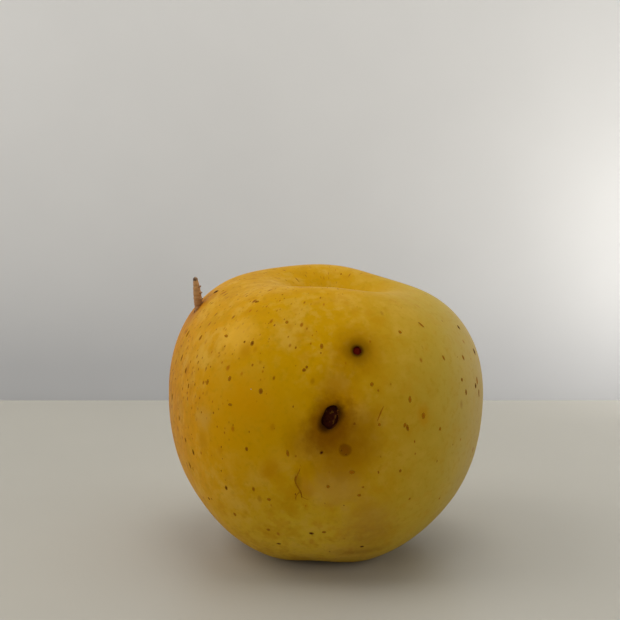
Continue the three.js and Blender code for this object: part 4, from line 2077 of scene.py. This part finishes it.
@dataclass
class Calyx:
    """Five dry sepals round a small cup."""

    steps: tuple = ((0.3, 1.0), (1.2, 1.8), (1.9, 3.0), (3.1, 3.9))
    count: int = 5
    rings: int = 26
    sides: int = 22
    width: float = 2.1
    thickness: float = 0.4
    curl: float = 0.22
    root_rounding: float = 0.2
    sharpness: float = 0.7
    cup_radius: float = 1.4
    cup_top: float = 0.4
    cup_bottom: float = 2.0
    cup_rounding: tuple[float, float] = (0.6, 0.3)
    cup_rings: int = 20
    cup_sides: int = 40
    relief: Relief = (1.3, 0.22, 3.0)

    def sepal(self, tree: PieceTree, floor: np.ndarray, azimuth: float) -> Field:
        """One sepal.

        Args:
            tree: The tree to add it to.
            floor: The basin's deepest point.
            azimuth: The way that the sepal points.

        Returns:
            The sepal.
        """
        steps = [(away * math.cos(azimuth), away * math.sin(azimuth), -down)
                 for away, down in self.steps]
        path = path_from(floor, steps, (-math.sin(azimuth), math.cos(azimuth), 0.0))

        def section(share: Number, angle: Number) -> tuple[Number, Number]:
            """A point of the sepal's section.

            Args:
                share: The share of the way out to the tip.
                angle: The way to the point.

            Returns:
                How far the point is each way across.
            """
            taper = rounded(share, self.root_rounding) * (1.0 - share) ** self.sharpness
            across = taper * (self.width / 2) * cosine(angle)
            curl = squared(cosine(angle)) * taper * self.curl
            return across, taper * (self.thickness / 2) * sine(angle) - curl

        return tree.tube(path, tree.size("rings", self.rings), tree.size("sides", self.sides),
                         section)

    def cup(self, tree: PieceTree, floor: np.ndarray) -> Field:
        """The cup that the sepals grow from.

        Args:
            tree: The tree to add it to.
            floor: The basin's deepest point.

        Returns:
            The cup.
        """
        steps = [(0.0, 0.0, -blend(self.cup_top, self.cup_bottom, share)) for share in THIRDS]
        return tree.tube(path_from(floor, steps), self.cup_rings, self.cup_sides,
                         lambda share, angle: oval(
                             both_ends(share, *self.cup_rounding) * self.cup_radius, angle))

    def build(self) -> bpy.types.Object:
        """Makes the calyx."""
        tree = PieceTree("calyx")
        floor = numbers(APPLE.skin(-QUARTER, 0.0))
        sepals = [self.sepal(tree, floor, APPLE.rib_turn + turn * TURN / self.count)
                  for turn in range(self.count)]
        whole = tree.raised(tree.joined([self.cup(tree, floor), *sepals]),
                            tree.bumps(*self.relief))
        whole = tree.marked(whole, "tip", 0.0)
        finish = WoodFinish("sepal", screen(128, 108, 74), screen(70, 54, 34),
                            screen(128, 108, 74), 0.1).material()
        piece = tree.grow("calyx_sepals", whole, finish)
        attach(piece, "root")
        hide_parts("calyx")
        return piece


# ---- The studio ---------------------------------------------------------------------------


# The height of the fruit's middle, in metres.
FRUIT_MIDDLE = 0.035


def lamp_place(azimuth: float, height: float,
               distance: float = 1.1) -> tuple[float, float, float]:
    """A place round the fruit, by its azimuth and height in degrees and its distance."""
    across = math.cos(height * DEGREE) * distance
    return (math.cos(azimuth * DEGREE) * across, math.sin(azimuth * DEGREE) * across,
            math.sin(height * DEGREE) * distance + FRUIT_MIDDLE)


@dataclass(frozen=True)
class Lamp:
    """A soft square lamp, in metres and watts."""

    name: str
    place: tuple[float, float, float]
    size: float
    power: float
    colour: tuple[float, float, float] = (1.0, 1.0, 1.0)
    aim: tuple[float, float, float] = (0.0, 0.0, FRUIT_MIDDLE)

    def build(self) -> None:
        """Makes the lamp."""
        light = bpy.data.lights.new(self.name, "AREA")
        light.size = self.size
        light.energy = self.power
        light.color = self.colour
        lamp = in_scene(self.name, light)
        lamp.location = self.place
        way = Vector(self.aim) - Vector(self.place)
        lamp.rotation_euler = way.to_track_quat("-Z", "Y").to_euler()


LAMPS = (
    Lamp("left_high", lamp_place(190.0, 50.0), 0.6, 3.4),
    Lamp("left_low", lamp_place(185.0, 20.0), 0.6, 1.85),
    Lamp("front_left", lamp_place(225.0, 20.0), 0.6, 2.2),
    Lamp("front_right", lamp_place(315.0, 20.0), 0.6, 1.8),
    Lamp("right_low", lamp_place(355.0, 20.0), 0.6, 2.0),
    Lamp("top", lamp_place(270.0, 86.0), 0.6, 2.2),
    Lamp("wall_wash", (0.25, 0.05, 0.75), 0.7, 1.6, aim=(0.2, 0.28, 0.0)),
    Lamp("wall_glow", (0.24, 0.13, 0.06), 0.12, 0.16, aim=(0.24, 0.28, 0.06)),
)


@dataclass
class Studio:
    """A plain pale table and wall, soft light and the camera, in metres."""

    table_colour: Colour = screen(182, 178, 166)
    wall_colour: Colour = screen(238, 236, 232)
    board_grain: Grain = (0.02, 2.0, 0.5)
    board_darkening: float = 0.94
    board_roughness: float = 0.42
    board_specular: float = 0.4
    half_width: float = 1.2
    table_span: Span = (-1.0, 0.184)
    wall_place: float = 0.28
    wall_span: Span = (-0.4, 1.2)
    camera_place: tuple[float, float, float] = (-0.00367, -0.22598, 0.082)
    camera_pitch: float = 5.58 * DEGREE
    camera_start: float = 0.01
    sensor: float = 36.0
    lens: float = 52.26
    ambient: float = 0.0

    def board(self, name: str, corners: Sequence[tuple], colour: Colour) -> None:
        """Makes one plain flat board.

        Args:
            name: Its name.
            corners: Its four corners, anticlockwise from its front.
            colour: Its colour.
        """
        mesh = bpy.data.meshes.new(name)
        mesh.from_pydata(corners, [], [(0, 1, 2, 3)])
        paint = Paint(name)
        tone = paint.noise(paint.place, *self.board_grain)
        darker = (*(part * self.board_darkening for part in colour[:3]), 1.0)
        mesh.materials.append(paint.finish(
            paint.mix(tone, colour, darker), self.board_roughness,
            Specular_IOR_Level=self.board_specular))
        board = in_scene(name, mesh)

    def build(self) -> None:
        """Makes the studio."""
        half, wall = self.half_width, self.wall_place
        near, far = self.table_span
        low, high = self.wall_span
        self.board("table", [(-half, near, 0), (half, near, 0), (half, far, 0),
                             (-half, far, 0)], self.table_colour)
        self.board("wall", [(-half, wall, low), (half, wall, low), (half, wall, high),
                            (-half, wall, high)], self.wall_colour)
        for lamp in LAMPS:
            lamp.build()
        self.camera()
        scene = bpy.context.scene
        scene.view_settings.view_transform = "Standard"
        scene.world = bpy.data.worlds.new("soft_room")
        scene.world.use_nodes = True
        background = scene.world.node_tree.nodes["Background"]
        background.inputs["Color"].default_value = (1, 1, 1, 1)
        background.inputs["Strength"].default_value = self.ambient

    def camera(self) -> None:
        """Makes the camera."""
        data = bpy.data.cameras.new("view")
        data.sensor_width = self.sensor
        data.lens = self.lens
        data.clip_start = self.camera_start
        data.dof.use_dof = False
        camera = in_scene("view", data)
        camera.location = self.camera_place
        camera.rotation_euler = (QUARTER - self.camera_pitch, 0.0, 0.0)
        bpy.context.scene.camera = camera


# ---- Everything together ------------------------------------------------------------------


def report(piece: bpy.types.Object) -> None:
    """Logs a finished piece."""
    log.info("%s: %d faces", piece.name, len(piece.data.polygons))


def main() -> None:
    """Builds every piece."""
    logging.basicConfig(level=logging.INFO, format="%(name)s: %(message)s")
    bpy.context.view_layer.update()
    skin = AppleSkin().build()
    report(skin)
    packed_frass = DotFinish("packed_frass", screen(30, 6, 1), screen(50, 14, 2),
                             screen(92, 56, 12))
    dark_frass = DotFinish("dark_frass", screen(66, 8, 0), screen(84, 14, 1),
                           screen(100, 28, 2))
    loose_frass = DotFinish("frass", screen(74, 34, 4), screen(104, 60, 12),
                            screen(124, 84, 24))
    for part in (
            Lenticels(skin),
            Flecks(skin),
            Plug("exit_plug", EXIT, (0.8, 4.4), 1.0, packed_frass, 0.35),
            Plug("entry_plug", ENTRY, (0.35, 2.5), 0.3, dark_frass),
            Crumbs("exit_frass", EXIT, (0.1, 0.35), (0.3, 0.8), 14.0, (0.06, 0.14), loose_frass),
            Larva(),
            Stem(),
            Calyx()):
        report(part.build())
    Studio().build()


if __name__ == "__main__":
    main()
